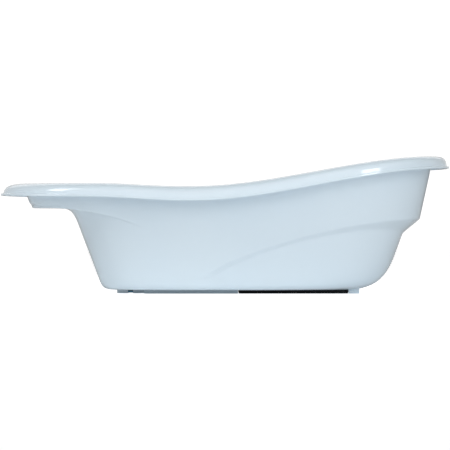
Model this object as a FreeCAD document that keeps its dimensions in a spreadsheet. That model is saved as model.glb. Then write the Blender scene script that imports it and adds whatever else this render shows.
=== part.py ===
"""Baby bathtub: a thin moulded tub with a wavy rolled rim, a soap ledge at the foot end, a stepped
wall at the head end, a drain with a pull-out plug, rubber glides under the floor and soft grip pads.

Millimetres. X runs along the tub from the foot end (-X) to the head end (+X), Z is up, and the
origin is on the ground under the middle of the tub.
"""

import FreeCAD
import Part
import Sketcher
import math
import os

V = FreeCAD.Vector
UP = V(0, 0, 1)
TOUCH = 0.01  # lengths and heights that differ by less are the same
doc = FreeCAD.newDocument("baby_bathtub")

# ---------------------------------------------------------------------------------------------
# Driving dimensions
# ---------------------------------------------------------------------------------------------
DIMENSIONS = [
    ("overall_length", 930.0, "rim, end to end"),
    ("overall_width", 510.0, "rim, side to side"),
    ("head_rim_height", 283.0, "top of the rim at the head end"),
    ("foot_rim_height", 227.0, "top of the rim at the foot end"),
    ("waist_rim_height", 220.5, "top of the rim at its lowest, on the foot side of the middle"),
    ("shell_wall", 3.0, "thickness of the moulding"),
    ("floor_clearance", 8.0, "from the ground to the underside of the tub's floor"),
    ("end_rim_drop", 24.5, "from the rim's top to the underside of its lip, at the ends"),
    ("side_rim_drop", 29.8, "the same at the sides"),
    ("lip_reach", 2.0, "how far the lip stands out from the rolled rim, at the sides"),
    ("end_lip_reach", 5.0, "the same at the two ends"),
    ("lip_height", 4.5, "thickness of the lip"),
    ("foot_roll_width", 35.0, "rolled part of the rim at the foot end"),
    ("side_roll_width", 24.0, "rolled part of the rim at the sides"),
    ("head_roll_width", 15.0, "rolled part of the rim at the head end"),
    ("foot_flange", 45.0, "from the rim's edge in to the wall at the foot end"),
    ("side_flange", 42.0, "from the rim's edge in to the wall at the sides"),
    ("head_flange", 32.0, "from the rim's edge in to the wall at the head end"),
    ("ledge_height", 176.0, "underside of the soap ledge above the ground"),
    ("ledge_depth", 84.5, "length of the soap ledge along the tub"),
    ("step_height", 153.0, "top of the step in the head end wall above the ground"),
    ("step_rise", 28.0, "height of the step's sloping face at the head end"),
    ("side_step_rise", 10.0, "height of that face at the sides"),
    ("head_step", 25.0, "how far the wall steps in at the head end"),
    ("side_step", 5.5, "how far the wall steps in at the sides"),
    ("drain_offset", 196.0, "from the middle of the tub back to the drain"),
    ("drain_bore", 38.0, "diameter of the drain hole"),
    ("drain_seat_margin", 5.5, "width of the recessed seat round the drain hole"),
    ("drain_seat_depth", 1.2, "depth of that seat below the floor"),
    ("drain_boss_diameter", 58.0, "outside of the ring under the drain"),
    ("drain_boss_wall", 3.5, "thickness of the ring under the drain"),
    ("drain_notch", 10.5, "width of each run-off notch in the ring"),
    ("plug_head_height", 3.0, "thickness of the plug's flange"),
    ("plug_head_clearance", 0.8, "gap round the plug's flange in its seat"),
    ("plug_spigot_clearance", 1.0, "gap round the plug's spigot in the drain hole"),
    ("plug_spigot_length", 8.6, "length of the spigot below the flange"),
    ("plug_spigot_wall", 4.0, "wall of the spigot"),
    ("seal_height", 4.0, "height of the plug's seal"),
    ("seal_depth", 1.6, "how deep the seal sits in the spigot"),
    ("seal_below_head", 0.8, "from the plug's flange down to the seal"),
    ("running_clearance", 0.1, "gap between pieces that move past each other"),
    ("pull_ring_radius", 13.0, "middle line of the pull ring's arc"),
    ("pull_ring_section", 4.0, "thickness of the pull ring"),
    ("pull_ring_lift", 0.8, "gap under the folded pull ring"),
    ("hinge_bar", 3.0, "diameter of the pull ring's straight bar"),
    ("hinge_lug_width", 3.5, "thickness of each lug that holds the bar"),
    ("hinge_lug_length", 7.0, "length of each lug"),
    ("hinge_lug_spacing", 14.0, "between the middles of the two lugs"),
    ("hinge_snap_slot", 2.2, "slot in each lug that the bar snaps through"),
    ("stop_diameter", 112.0, "raised seat stop on the floor"),
    ("stop_rise", 27.0, "height of the seat stop above the floor"),
    ("stop_offset", 10.0, "from the middle of the tub to the seat stop"),
    ("rail_spacing", 140.0, "between the middle lines of the two rails under the floor"),
    ("rail_width", 14.0, "width of the moulded rails"),
    ("rail_wall", 2.5, "wall of the moulded rails"),
    ("rail_bite", 2.2, "how far the rails and the ring run up into the floor's thickness"),
    ("rail_start", 167.0, "from the middle of the tub back to the foot end of the rails"),
    ("rail_toe", 22.0, "length of the rail past the head end of the glides"),
    ("glide_start", 28.0, "from the middle of the tub to the foot end of the rubber glides"),
    ("glide_length", 226.0, "length of the rubber glides"),
    ("glide_width", 12.0, "width of the rubber glides"),
    ("glide_end_gap", 1.0, "gap between a glide and the rail at each of its ends"),
    ("tongue_width", 3.0, "moulded tongue that holds a glide"),
    ("tongue_depth", 5.0, "depth of the tongue below the floor"),
    ("pad_thickness", 1.4, "thickness of the soft grip pads"),
    ("pad_gap", 0.05, "bond line under the soft grip pads"),
    ("pad_corner", 22.0, "corner radius of the grip pads"),
    ("back_pad_width", 170.0, "grip pad on the slope at the head end"),
    ("back_pad_height", 58.0, "its height"),
    ("back_pad_base", 54.0, "height of its lower edge above the ground"),
    ("foot_pad_width", 150.0, "grip pad on the slope at the foot end"),
    ("foot_pad_height", 84.0, "its height"),
    ("foot_pad_base", 50.0, "height of its lower edge above the ground"),
    ("seat_pad_length", 132.0, "grip pad on the floor, along the tub"),
    ("seat_pad_share", 0.29, "its width, as a share of the tub's width"),
    ("seat_pad_start", 82.0, "from the middle of the tub to the floor pad"),
    ("gauge_length", 56.0, "temperature gauge, across the tub"),
    ("gauge_width", 18.0, "width of the gauge"),
    ("gauge_height", 1.6, "thickness of the gauge's window"),
    ("gauge_offset", 108.0, "from the middle of the tub back to the gauge"),
    ("gauge_corner", 5.0, "corner radius of the gauge's window"),
    ("strip_thickness", 0.4, "thickness of the colour-changing strip"),
    ("strip_margin", 3.5, "clear border of the window round the strip"),
    ("rib_width", 3.0, "soap ribs on the ledge"),
    ("rib_height", 2.0, "how far the ribs stand up"),
    ("rib_length", 46.0, "their length along the tub"),
    ("rib_inset", 14.0, "from the ledge's inner edge to the ribs"),
    ("rib_spacing", 22.0, "distance between the ribs"),
]

sheet = doc.addObject("Spreadsheet::Sheet", "dimensions")
for row, (alias, value, note) in enumerate(DIMENSIONS, start=1):
    sheet.set(f"A{row}", str(value))
    sheet.setAlias(f"A{row}", alias)
    sheet.set(f"B{row}", note)
doc.recompute()
ALIASES = {alias for alias, _, _ in DIMENSIONS}


def size(alias):
    """A driving dimension, read back from the sheet."""
    return float(getattr(sheet, alias))


def bind(item, **expressions):
    """Ties properties of an object to the sheet, as in bind(box, Length="2 * rail_width")."""
    for name, expression in expressions.items():
        words = ["dimensions." + w if w in ALIASES else w for w in expression.split()]
        item.setExpression(name.replace("__", "."), " ".join(words))
    return item


WALL = size("shell_wall")
BASE = size("floor_clearance")
FLOOR = BASE + WALL
HALF_LENGTH = size("overall_length") / 2
HALF_WIDTH = size("overall_width") / 2

# ---------------------------------------------------------------------------------------------
# Shape of the moulded shell. Each station round the tub has a column of poles, from the floor up
# the outside, under the rim to its lip, and back over the rim and down the inside.
# ---------------------------------------------------------------------------------------------
STATIONS = 72
RIM_SQUARENESS = 2.9
ROLL_FULLNESS = 0.85  # 1 for a quarter ellipse, less for a fuller roll
FOOT_SQUARENESS = (3.8, 3.1)  # below and above the ledge
HEAD_SQUARENESS = 2.9
FOOT_SLOPE = 0.375  # reach gained per unit of height, for each wall
LEDGE_WALL_SLOPE = 0.40
HEAD_LOWER_SLOPE = 0.36
HEAD_UPPER_SLOPE = 0.221
SIDE_SLOPE = 0.20
CORNER_HEIGHT, CORNER_WIDTH, CORNER_SOFTNESS = 18.0, 22.0, 0.08  # of the floor's corner, at the sides
HEAD_CORNER_HEIGHT, HEAD_CORNER_WIDTH, HEAD_CORNER_SOFTNESS = 28.0, 30.0, 0.46  # added at the head end
FOOT_CORNER_WIDTH = 3.0  # added at the foot end
FLAT_RUN = 6.0  # of the floor inside its corner, up to the cap
STEP_EDGE = 3.0  # between the rows of poles that keep the step's two edges crisp
CLEAR_OF_CORNER = 5.0  # least height of the step over the floor's corner
CLEAR_OF_STEP = 12.0
CLEAR_OF_RIM = 12.0
LIP_RADIUS = 0.6
LEDGE_TURN = (66.0, 42.0)  # below the ledge: rows of poles where the wall turns out towards it
LEDGE_ROWS = ((0.0, 0.3), (0.35, 0.6), (0.90, 1.0), (1.0, 1.0))  # share of its depth, share of its outline
LEDGE_LIFT, LEDGE_LEAN = 8.0, 0.5  # of the short upright edge round the ledge
LEDGE_FADE = (0.2, 0.8)  # round towards the foot end, where the ledge begins and is whole
LEDGE_FOLD = ((12.0, 9.5), (22.0, 22.0))  # reach of the wall at one height, given to a row at another


def ease(share):
    """0 to 1 with no kink at either end."""
    share = min(1.0, max(0.0, share))
    return share * share * (3 - 2 * share)


def mix(start, end, share):
    return start + (end - start) * share


def rim_top(x):
    """Height of the rim's top: level at the foot end, a shallow waist, and a rise to the head end."""
    foot = ease((-0.20 * HALF_LENGTH - x) / (0.37 * HALF_LENGTH))
    head = ease((x + 0.145 * HALF_LENGTH) / (1.10 * HALF_LENGTH))
    waist = size("waist_rim_height")
    rise = foot * (size("foot_rim_height") - waist) + head * (size("head_rim_height") - waist)
    return waist + rise


def step_top(x):
    """Height of the upper edge of the step, which falls from the head end towards the foot end."""
    start, end = -0.28 * HALF_LENGTH, 0.945 * HALF_LENGTH
    share = min(1.0, max(0.0, (end - x) / (end - start)))
    return mix(size("step_height"), BASE, share**1.8)


def step_depth(x):
    """How far the side wall steps in below the step, fading out towards the foot end."""
    return size("side_step") * ease((x + 0.28 * HALF_LENGTH) / (0.25 * HALF_LENGTH))


def side_reach(height, x, below_step):
    top = HALF_WIDTH - size("side_flange")
    reach = top - SIDE_SLOPE * (size("waist_rim_height") - height)
    return reach - step_depth(x) if below_step else reach


def head_reach(height, below_step):
    top = HALF_LENGTH - size("head_flange")
    upper = top - HEAD_UPPER_SLOPE * (size("head_rim_height") - height)
    if not below_step:
        return upper
    edge = top - HEAD_UPPER_SLOPE * (size("head_rim_height") - size("step_height"))
    return edge - size("head_step") - HEAD_LOWER_SLOPE * (size("step_height") - height)


def ledge_edge():
    """Reach of the foot end wall where the soap ledge's underside meets it."""
    top = HALF_LENGTH - size("foot_flange")
    return top - LEDGE_WALL_SLOPE * (size("foot_rim_height") - WALL - size("ledge_height"))


def foot_reach(height, above_ledge):
    if above_ledge:
        return ledge_edge() + LEDGE_WALL_SLOPE * (height - size("ledge_height"))
    inner = ledge_edge() - size("ledge_depth")
    return inner - FOOT_SLOPE * (size("ledge_height") - height)


def rim_drop(angle):
    """From the rim's top down to the underside of its lip."""
    return mix(size("side_rim_drop"), size("end_rim_drop"), math.cos(angle) ** 2)


def lip_reach(angle):
    """How far the lip stands out: most at the two ends."""
    return mix(size("lip_reach"), size("end_lip_reach"), math.cos(angle) ** 4)


def outline(angle, reach_x, reach_y, squareness):
    """A point of a rounded-rectangle outline in plan, at an angle round its centre."""
    c, s = math.cos(angle), math.sin(angle)
    grow = (abs(c) ** squareness + abs(s) ** squareness) ** (-1 / squareness)
    return reach_x * c * grow, reach_y * s * grow


def rim_pole(angle, inset, drop):
    """A pole of the rim: inset from the rim's edge, and dropped from the rim's top."""
    x, y = outline(angle, HALF_LENGTH - inset, HALF_WIDTH - inset, RIM_SQUARENESS)
    return V(x, y, rim_top(x) - drop)


def wall_pole(angle, height, reach_x, x, below_step, squareness):
    """A pole of the wall at a height, with its reach along X given and its reach along Y worked out."""
    px, py = outline(angle, reach_x, side_reach(height, x, below_step), squareness)
    return V(px, py, height)


def flange_x(angle):
    """Where a station's wall meets the flange, along the tub."""
    return outline(angle, HALF_LENGTH - size("head_flange"), HALF_WIDTH, HEAD_SQUARENESS)[0]


def wall_poles(angle):
    """Outside of the wall at one station, from the flat of the floor up to just below the rim."""
    c = math.cos(angle)
    head, foot = max(0.0, c) ** 2, max(0.0, -c) ** 2
    x = flange_x(angle)
    low_squareness = mix(HEAD_SQUARENESS, FOOT_SQUARENESS[0], ease(-2 * c))

    def reach_x(height, below_step=True):
        return foot_reach(height, False) if c < 0 else head_reach(height, below_step)

    # the floor's corner: flat, a softened corner, and the start of the wall
    corner_end = BASE + CORNER_HEIGHT + HEAD_CORNER_HEIGHT * head
    flat = CORNER_WIDTH + HEAD_CORNER_WIDTH * head + FOOT_CORNER_WIDTH * foot
    soft = CORNER_SOFTNESS + HEAD_CORNER_SOFTNESS * head
    corner = wall_pole(angle, BASE, reach_x(BASE), x, True, low_squareness)
    flat_reach = reach_x(BASE) - flat
    side_flat = side_reach(BASE, x, True) - flat
    flat_xy = outline(angle, flat_reach, side_flat, low_squareness)
    start = V(flat_xy[0], flat_xy[1], BASE)
    end = wall_pole(angle, corner_end, reach_x(corner_end), x, True, low_squareness)
    inner = outline(angle, flat_reach - FLAT_RUN, side_flat - FLAT_RUN, low_squareness)
    poles = [V(inner[0], inner[1], BASE), start, corner + ((start + end) / 2 - corner) * soft, end]

    # the step, or its place in the plain wall where there is none
    rise = mix(size("side_step_rise"), size("step_rise"), head**2)
    low = max(step_top(x) - rise, corner_end + CLEAR_OF_CORNER)
    high = low + rise
    below_low = low - STEP_EDGE
    before, after = (corner_end + below_low) / 2, high + CLEAR_OF_STEP
    for height in (before, below_low, low):
        poles.append(wall_pole(angle, height, reach_x(height), x, True, low_squareness))
    for height in (high, high + STEP_EDGE, after):
        poles.append(wall_pole(angle, height, reach_x(height, False), x, False, low_squareness))

    # the upper wall, which turns out into the soap ledge at the foot end
    top = rim_top(x) - WALL - CLEAR_OF_RIM
    ledge, edge = size("ledge_height"), ledge_edge()
    inner_edge = edge - size("ledge_depth")
    at_foot = [(foot_reach(ledge - down, False), ledge - down, 0.0) for down in LEDGE_TURN]
    at_foot += [(mix(inner_edge, edge, along), ledge, above) for along, above in LEDGE_ROWS]
    at_foot += [(edge + LEDGE_LEAN, ledge + LEDGE_LIFT, 1.0)]
    at_foot += [(foot_reach(ledge + of, True), ledge + up, 1.0) for of, up in LEDGE_FOLD]
    share = ease((-c - LEDGE_FADE[0]) / (LEDGE_FADE[1] - LEDGE_FADE[0]))
    for number, (reach, foot_height, above) in enumerate(at_foot, start=1):
        even = mix(after, top, number / (len(at_foot) + 1))
        height = mix(even, foot_height, share)
        square = mix(low_squareness, FOOT_SQUARENESS[1], above) if c < 0 else HEAD_SQUARENESS
        across = reach if c < 0 else head_reach(height, False)
        poles.append(wall_pole(angle, height, across, x, False, square))
    return poles


def under_rim_poles(angle):
    """Top of the wall, the flange's underside and the inside of the roll, down to its bottom."""
    c = math.cos(angle)
    head, foot = max(0.0, c) ** 2, max(0.0, -c) ** 2
    square = mix(HEAD_SQUARENESS, FOOT_SQUARENESS[1], foot)
    roll = size("side_roll_width")
    roll += head * (size("head_roll_width") - roll) + foot * (size("foot_roll_width") - roll)
    crest = lip_reach(angle) + roll
    reach_x = foot_reach if c < 0 else head_reach
    at_foot = c < 0
    poles = []
    for below in (WALL + CLEAR_OF_RIM, WALL):
        height = rim_top(flange_x(angle)) - below
        poles.append(wall_pole(angle, height, reach_x(height, at_foot), flange_x(angle), False, square))
    corner_inset = HALF_WIDTH - side_reach(poles[-1].z, 0, False)
    end_inset = HALF_LENGTH - reach_x(poles[-1].z, at_foot)
    inset = mix(corner_inset, end_inset, head + foot)
    poles.append(rim_pole(angle, (inset + crest) / 2, WALL))
    inner = lip_reach(angle) + WALL
    drop = rim_drop(angle) - size("lip_height") - size("lip_reach")
    for degrees in (0, 30, 60, 90):
        turn = math.radians(degrees)
        across = crest - (crest - inner) * math.sin(turn) ** ROLL_FULLNESS
        down = drop - (drop - WALL) * math.cos(turn) ** ROLL_FULLNESS
        poles.append(rim_pole(angle, across, down))
    return poles


def lip_poles(angle):
    """The lip: underside corner, outer lower and upper corners, and the corner with the roll."""
    drop, reach = rim_drop(angle), lip_reach(angle)
    upper = drop - size("lip_height")
    places = (
        (reach + WALL, drop),
        (LIP_RADIUS, drop),
        (0, drop),
        (0, upper),
        (LIP_RADIUS, upper),
        (reach, upper),
    )
    return [rim_pole(angle, inset, down) for inset, down in places]


def offset_poles(columns, distance):
    """Poles moved off the outside, towards the inside of the tub, keeping the wall's thickness."""
    count, rows = len(columns), len(columns[0])
    moved = []
    for i, column in enumerate(columns):
        around = [columns[(i + 1) % count][j] - columns[i - 1][j] for j in range(rows)]
        new = []
        for j, pole in enumerate(column):
            before = pole - column[j - 1] if j > 0 else column[1] - pole
            after = column[j + 1] - pole if j < rows - 1 else before
            n1 = before.cross(around[j]).normalize()
            n2 = after.cross(around[j]).normalize()
            new.append(pole + (n1 + n2) * (distance / (1 + n1.dot(n2))))
        moved.append(new)
    return moved


def through_points(columns):
    """Poles whose periodic cubic passes through the given points round the tub."""
    count = len(columns)
    fitted = []
    for i, column in enumerate(columns):
        before, after = columns[i - 1], columns[(i + 1) % count]
        fitted.append([p * (4 / 3) - (a + b) / 6 for p, a, b in zip(column, before, after)])
    return fitted


def skin_surface(columns):
    """One smooth surface over columns of poles: closed round the tub and open at its two ends.

    An extra pole a third of the way along the first and last spans leaves the ends without bend.
    """
    fitted = [
        [c[0], c[0] + (c[1] - c[0]) / 3] + c[1:-1] + [c[-1] + (c[-2] - c[-1]) / 3, c[-1]]
        for c in through_points(columns)
    ]
    count, rows = len(fitted), len(fitted[0])
    surface = Part.BSplineSurface()
    surface.buildFromPolesMultsKnots(
        fitted,
        [1] * (count + 1),
        [4] + [1] * (rows - 4) + [4],
        list(range(count + 1)),
        list(range(rows - 2)),
        True,
        False,
        3,
        3,
    )
    return surface.toShape()


def closed_solid(columns):
    """A solid bounded by one smooth surface over the poles and a flat cap at each of its ends."""
    skin = skin_surface(columns)
    rings = [edge for edge in skin.Edges if edge.isClosed() and edge.BoundBox.ZLength < TOUCH]
    shell = Part.Compound([skin] + [Part.Face(Part.Wire([edge])) for edge in rings])
    shell.sewShape()
    solid = Part.Solid(shell.Shells[0])
    if solid.Volume < 0:
        solid.reverse()
    return solid


ANGLES = [2 * math.pi * (i / STATIONS + 0.25) for i in range(STATIONS)]  # from the far side round
outside = [wall_poles(a) + under_rim_poles(a) for a in ANGLES]
inside = offset_poles(outside, WALL)
shell_columns = [
    out + lip_poles(a) + list(reversed(back)) for a, out, back in zip(ANGLES, outside, inside)
]

# ---------------------------------------------------------------------------------------------
# Small helpers that make parametric objects
# ---------------------------------------------------------------------------------------------


def part_object(kind, name, **expressions):
    """A Part primitive whose properties are bound to the sheet."""
    return bind(doc.addObject("Part::" + kind, name), **expressions)


def fixed_shape(name, shape):
    feature = doc.addObject("Part::Feature", name)
    feature.Shape = shape
    return feature


def joined(name, pieces):
    fuse = doc.addObject("Part::MultiFuse", name)
    fuse.Shapes = pieces
    return fuse


def cut_from(name, base, tool):
    cut = doc.addObject("Part::Cut", name)
    cut.Base, cut.Tool = base, tool
    return cut


def new_body(name, **expressions):
    return bind(doc.addObject("PartDesign::Body", name), **expressions)


def feature(body, kind, name, **expressions):
    """A PartDesign primitive in a body, such as AdditiveCylinder, bound to the sheet."""
    return bind(body.newObject("PartDesign::" + kind, name), **expressions)


def rectangle(body, name, along_x, along_y):
    """A sketch on the body's XY plane with a centred rectangle, its sides bound to the sheet."""
    sketch = body.newObject("Sketcher::SketchObject", name)
    plane = [item for item in body.Origin.OriginFeatures if item.Role == "XY_Plane"][0]
    sketch.AttachmentSupport = (plane, [""])
    sketch.MapMode = "FlatFace"
    wide_start, deep_start = 18.0, 12.0  # drawn at this size, and then bound to the sheet
    x, y = wide_start / 2, deep_start / 2
    corners = [V(-x, -y, 0), V(x, -y, 0), V(x, y, 0), V(-x, y, 0)]
    for start, end in zip(corners, corners[1:] + corners[:1]):
        sketch.addGeometry(Part.LineSegment(start, end), False)
    for side in range(4):
        sketch.addConstraint(Sketcher.Constraint("Coincident", side, 2, (side + 1) % 4, 1))
        sketch.addConstraint(Sketcher.Constraint("Vertical" if side % 2 else "Horizontal", side))
    sketch.addConstraint(Sketcher.Constraint("Symmetric", 0, 1, 2, 1, -1, 1))
    wide = sketch.addConstraint(Sketcher.Constraint("DistanceX", 0, 1, 0, 2, wide_start))
    deep = sketch.addConstraint(Sketcher.Constraint("DistanceY", 1, 1, 1, 2, deep_start))
    return bind(sketch, **{f"Constraints[{wide}]": along_x, f"Constraints[{deep}]": along_y})


def pad(body, sketch, name, height):
    feature_pad = body.newObject("PartDesign::Pad", name)
    feature_pad.Profile = sketch
    return bind(feature_pad, Length=height)


def pocket(body, sketch, name, depth):
    """Cuts upwards from the body's XY plane."""
    cut = body.newObject("PartDesign::Pocket", name)
    cut.Profile = sketch
    cut.Reversed = True
    return bind(cut, Length=depth)


def rounded_edges(body, base, name, radius, chosen):
    """Rounds the edges of a feature that the function chosen picks."""
    doc.recompute()
    edges = [f"Edge{i}" for i, edge in enumerate(base.Shape.Edges, start=1) if chosen(edge)]
    fillet = body.newObject("PartDesign::Fillet", name)
    fillet.Base = (base, edges)
    return bind(fillet, Radius=radius)


def is_upright(edge):
    return edge.BoundBox.XLength < TOUCH and edge.BoundBox.YLength < TOUCH


def is_ring(edge):
    return isinstance(edge.Curve, Part.Circle)


# ---------------------------------------------------------------------------------------------
# Tub shell: the skin with its seat stop, drain, ledge ribs, and the rails under its floor
# ---------------------------------------------------------------------------------------------


def stop_profile():
    """Half section of the seat stop: two equal arcs that meet smoothly, at the wall's thickness."""
    reach, rise = size("stop_diameter") / 2, size("stop_rise")
    bend = (reach**2 + rise**2) / (4 * rise)
    middle = math.asin(reach / (2 * bend))

    def arcs(top_radius, foot_radius):
        crown, foot = V(0, 0, rise - bend), V(reach, 0, bend)
        half = middle / 2
        return [
            Part.Arc(
                crown + V(0, 0, top_radius),
                crown + V(math.sin(half), 0, math.cos(half)) * top_radius,
                crown + V(math.sin(middle), 0, math.cos(middle)) * top_radius,
            ),
            Part.Arc(
                foot - V(math.sin(middle), 0, math.cos(middle)) * foot_radius,
                foot - V(math.sin(half), 0, math.cos(half)) * foot_radius,
                foot - V(0, 0, foot_radius),
            ),
        ]

    upper, lower = arcs(bend, bend), arcs(bend - WALL, bend + WALL)
    edge = Part.LineSegment(upper[1].EndPoint, lower[1].EndPoint)
    axis = Part.LineSegment(upper[0].StartPoint, lower[0].StartPoint)
    wire = Part.Wire(Part.__sortEdges__([c.toShape() for c in upper + lower + [edge, axis]]))
    return Part.Face(wire)


def rail_pieces(side, sign):
    """One moulded rail: a box-section skirt with a gap for the glide, and the tongue in the gap."""
    y = f"{sign} rail_spacing / 2"
    depth = "floor_clearance + rail_bite"
    glide_end = "( glide_start + glide_length )"
    skirt = part_object(
        "Box",
        f"rail_skirt_{side}",
        Length="rail_start + glide_start - glide_end_gap",
        Width="rail_width",
        Height=depth,
        Placement__Base__x="- rail_start",
        Placement__Base__y=f"{y} - rail_width / 2",
    )
    hollow = part_object(
        "Box",
        f"rail_hollow_{side}",
        Length="rail_start + glide_start - glide_end_gap - 2 * rail_wall",
        Width="rail_width - 2 * rail_wall",
        Height="floor_clearance",
        Placement__Base__x="- rail_start + rail_wall",
        Placement__Base__y=f"{y} - rail_width / 2 + rail_wall",
    )
    toe = part_object(
        "Box",
        f"rail_toe_{side}",
        Length="rail_toe",
        Width="rail_width",
        Height=depth,
        Placement__Base__x=f"{glide_end} + glide_end_gap",
        Placement__Base__y=f"{y} - rail_width / 2",
    )
    tongue = part_object(
        "Box",
        f"glide_tongue_{side}",
        Length="glide_length - 4 * rail_wall",
        Width="tongue_width",
        Height="tongue_depth + rail_bite",
        Placement__Base__x="glide_start + 2 * rail_wall",
        Placement__Base__y=f"{y} - tongue_width / 2",
        Placement__Base__z="floor_clearance - tongue_depth",
    )
    return [cut_from(f"rail_{side}", skirt, hollow), toe, tongue]


def drain_ring():
    """The ring under the drain, with four notches that let the water out."""
    place = dict(Placement__Base__x="- drain_offset")
    outer = part_object(
        "Cylinder",
        "ring_outer",
        Radius="drain_boss_diameter / 2",
        Height="floor_clearance + rail_bite",
        **place,
    )
    inner = part_object(
        "Cylinder",
        "ring_inner",
        Radius="drain_boss_diameter / 2 - drain_boss_wall",
        Height="floor_clearance",
        **place,
    )
    notches = []
    for name, along, across in (
        ("x", "drain_boss_diameter", "drain_notch"),
        ("y", "drain_notch", "drain_boss_diameter"),
    ):
        notches.append(
            part_object(
                "Box",
                f"ring_notch_{name}",
                Length=along,
                Width=across,
                Height="floor_clearance",
                Placement__Base__x=f"- drain_offset - {along} / 2",
                Placement__Base__y=f"- {across} / 2",
            )
        )
    return cut_from("ring_with_notches", cut_from("ring", outer, inner), joined("ring_notches", notches))


def ledge_ribs():
    """Five low ribs on the soap ledge, so that the soap drains."""
    ribs = []
    for number in range(-2, 3):
        rib = part_object(
            "Box",
            f"ledge_rib_{number + 3}",
            Length="rib_length",
            Width="rib_width",
            Height="rib_height + shell_wall / 2",
            Placement__Base__y=f"{number} * rib_spacing - rib_width / 2",
            Placement__Base__z="ledge_height + shell_wall / 2",
        )
        rib.Placement.Base.x = size("ledge_depth") - size("rib_inset") - ledge_edge() - size("rib_length")
        ribs.append(rib)
    return ribs


def make_tub_shell():
    skin = fixed_shape("tub_skin", closed_solid(shell_columns))
    opening = part_object(
        "Cylinder",
        "stop_opening",
        Radius="stop_diameter / 2",
        Height="shell_wall",
        Placement__Base__x="stop_offset",
        Placement__Base__z="floor_clearance",
    )
    dome = fixed_shape("seat_stop", stop_profile().revolve(V(0, 0, 0), UP, 360))
    dome.Placement = FreeCAD.Placement(V(size("stop_offset"), 0, FLOOR), FreeCAD.Rotation())
    seat = part_object(
        "Cylinder",
        "drain_seat",
        Radius="drain_bore / 2 + drain_seat_margin",
        Height="shell_wall",
        Placement__Base__x="- drain_offset",
        Placement__Base__z="floor_clearance + shell_wall - drain_seat_depth",
    )
    bore = part_object(
        "Cylinder", "drain_hole", Radius="drain_bore / 2", Height="floor_clearance + 2 * shell_wall"
    )
    bind(bore, Placement__Base__x="- drain_offset")
    floor = cut_from("floor_with_opening", skin, opening)
    extras = [dome, drain_ring()] + ledge_ribs()
    extras += rail_pieces("left", "-") + rail_pieces("right", "")
    whole = joined("shell_with_details", [floor] + extras)
    return cut_from("tub_shell", cut_from("shell_with_seat", whole, seat), bore)


# ---------------------------------------------------------------------------------------------
# Drain plug, its seal and its pull ring, all on the drain's axis
# ---------------------------------------------------------------------------------------------
PLUG_SEAT = "floor_clearance + shell_wall - drain_seat_depth"
SPIGOT = "( drain_bore / 2 - plug_spigot_clearance )"
HINGE_LIFT = "( plug_head_height + pull_ring_lift + pull_ring_section / 2 )"


def make_drain_plug():
    """A flange on a hollow spigot with a groove for the seal, and two lugs for the pull ring.

    The body's own z = 0 is the underside of the flange, which rests on the drain's seat.
    """
    plug = new_body("drain_plug", Placement__Base__x="- drain_offset", Placement__Base__z=PLUG_SEAT)
    feature(
        plug,
        "AdditiveCylinder",
        "flange",
        Radius="drain_bore / 2 + drain_seat_margin - plug_head_clearance",
        Height="plug_head_height",
    )
    below = "seal_below_head + seal_height"
    neck, groove, tip = (
        (SPIGOT, "seal_below_head + plug_head_height / 2", "seal_below_head"),
        (f"{SPIGOT} - seal_depth", "seal_height + plug_head_height / 2", below),
        (SPIGOT, f"plug_spigot_length - {below.replace(' + ', ' - ')}", "plug_spigot_length"),
    )
    for name, (radius, height, drop) in zip(("neck", "groove_floor", "tip"), (neck, groove, tip)):
        place = dict(Placement__Base__z=f"- ( {drop} )")
        feature(plug, "AdditiveCylinder", name, Radius=radius, Height=height, **place)
    feature(
        plug,
        "SubtractiveCylinder",
        "spigot_hollow",
        Radius=f"{SPIGOT} - plug_spigot_wall",
        Height="plug_spigot_length",
        Placement__Base__z="- plug_spigot_length",
    )
    for name, sign in (("near", "-"), ("far", "")):
        middle = f"{sign} hinge_lug_spacing / 2"
        feature(
            plug,
            "AdditiveBox",
            f"lug_{name}",
            Length="hinge_lug_length",
            Width="hinge_lug_width",
            Height=f"{HINGE_LIFT} + hinge_bar / 2 + running_clearance",
            Placement__Base__x="- hinge_lug_length / 2",
            Placement__Base__y=f"{middle} - hinge_lug_width / 2",
        )
    bore = feature(
        plug,
        "SubtractiveCylinder",
        "hinge_bore",
        Radius="hinge_bar / 2 + running_clearance",
        Height="hinge_lug_spacing + 2 * hinge_lug_width",
    )
    bore.Placement.Rotation = FreeCAD.Rotation(V(1, 0, 0), -90)
    bind(
        bore,
        Placement__Base__y="- hinge_lug_spacing / 2 - hinge_lug_width",
        Placement__Base__z=HINGE_LIFT,
    )
    feature(
        plug,
        "SubtractiveBox",
        "snap_slot",
        Length="hinge_snap_slot",
        Width="hinge_lug_spacing + 2 * hinge_lug_width",
        Height="hinge_bar",
        Placement__Base__x="- hinge_snap_slot / 2",
        Placement__Base__y="- hinge_lug_spacing / 2 - hinge_lug_width",
        Placement__Base__z=HINGE_LIFT,
    )
    return plug


def make_plug_seal():
    """A lathe-cut rubber ring in the spigot's groove, rounded where it slides in the drain hole."""
    place = dict(
        Placement__Base__x="- drain_offset",
        Placement__Base__z=f"{PLUG_SEAT} - seal_below_head - seal_height + running_clearance",
    )
    seal = new_body("plug_seal", **place)
    height = "seal_height - 2 * running_clearance"
    feature(seal, "AdditiveCylinder", "ring", Radius="drain_bore / 2 - running_clearance", Height=height)
    ring = feature(
        seal, "SubtractiveCylinder", "ring_hole", Radius=f"{SPIGOT} - seal_depth", Height=height
    )
    outer = size("drain_bore") / 2 - size("running_clearance")

    def is_outer_ring(edge):
        return is_ring(edge) and abs(edge.Curve.Radius - outer) < TOUCH

    rounded_edges(seal, ring, "rounded_lips", "seal_height / 4", is_outer_ring)
    return seal


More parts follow.
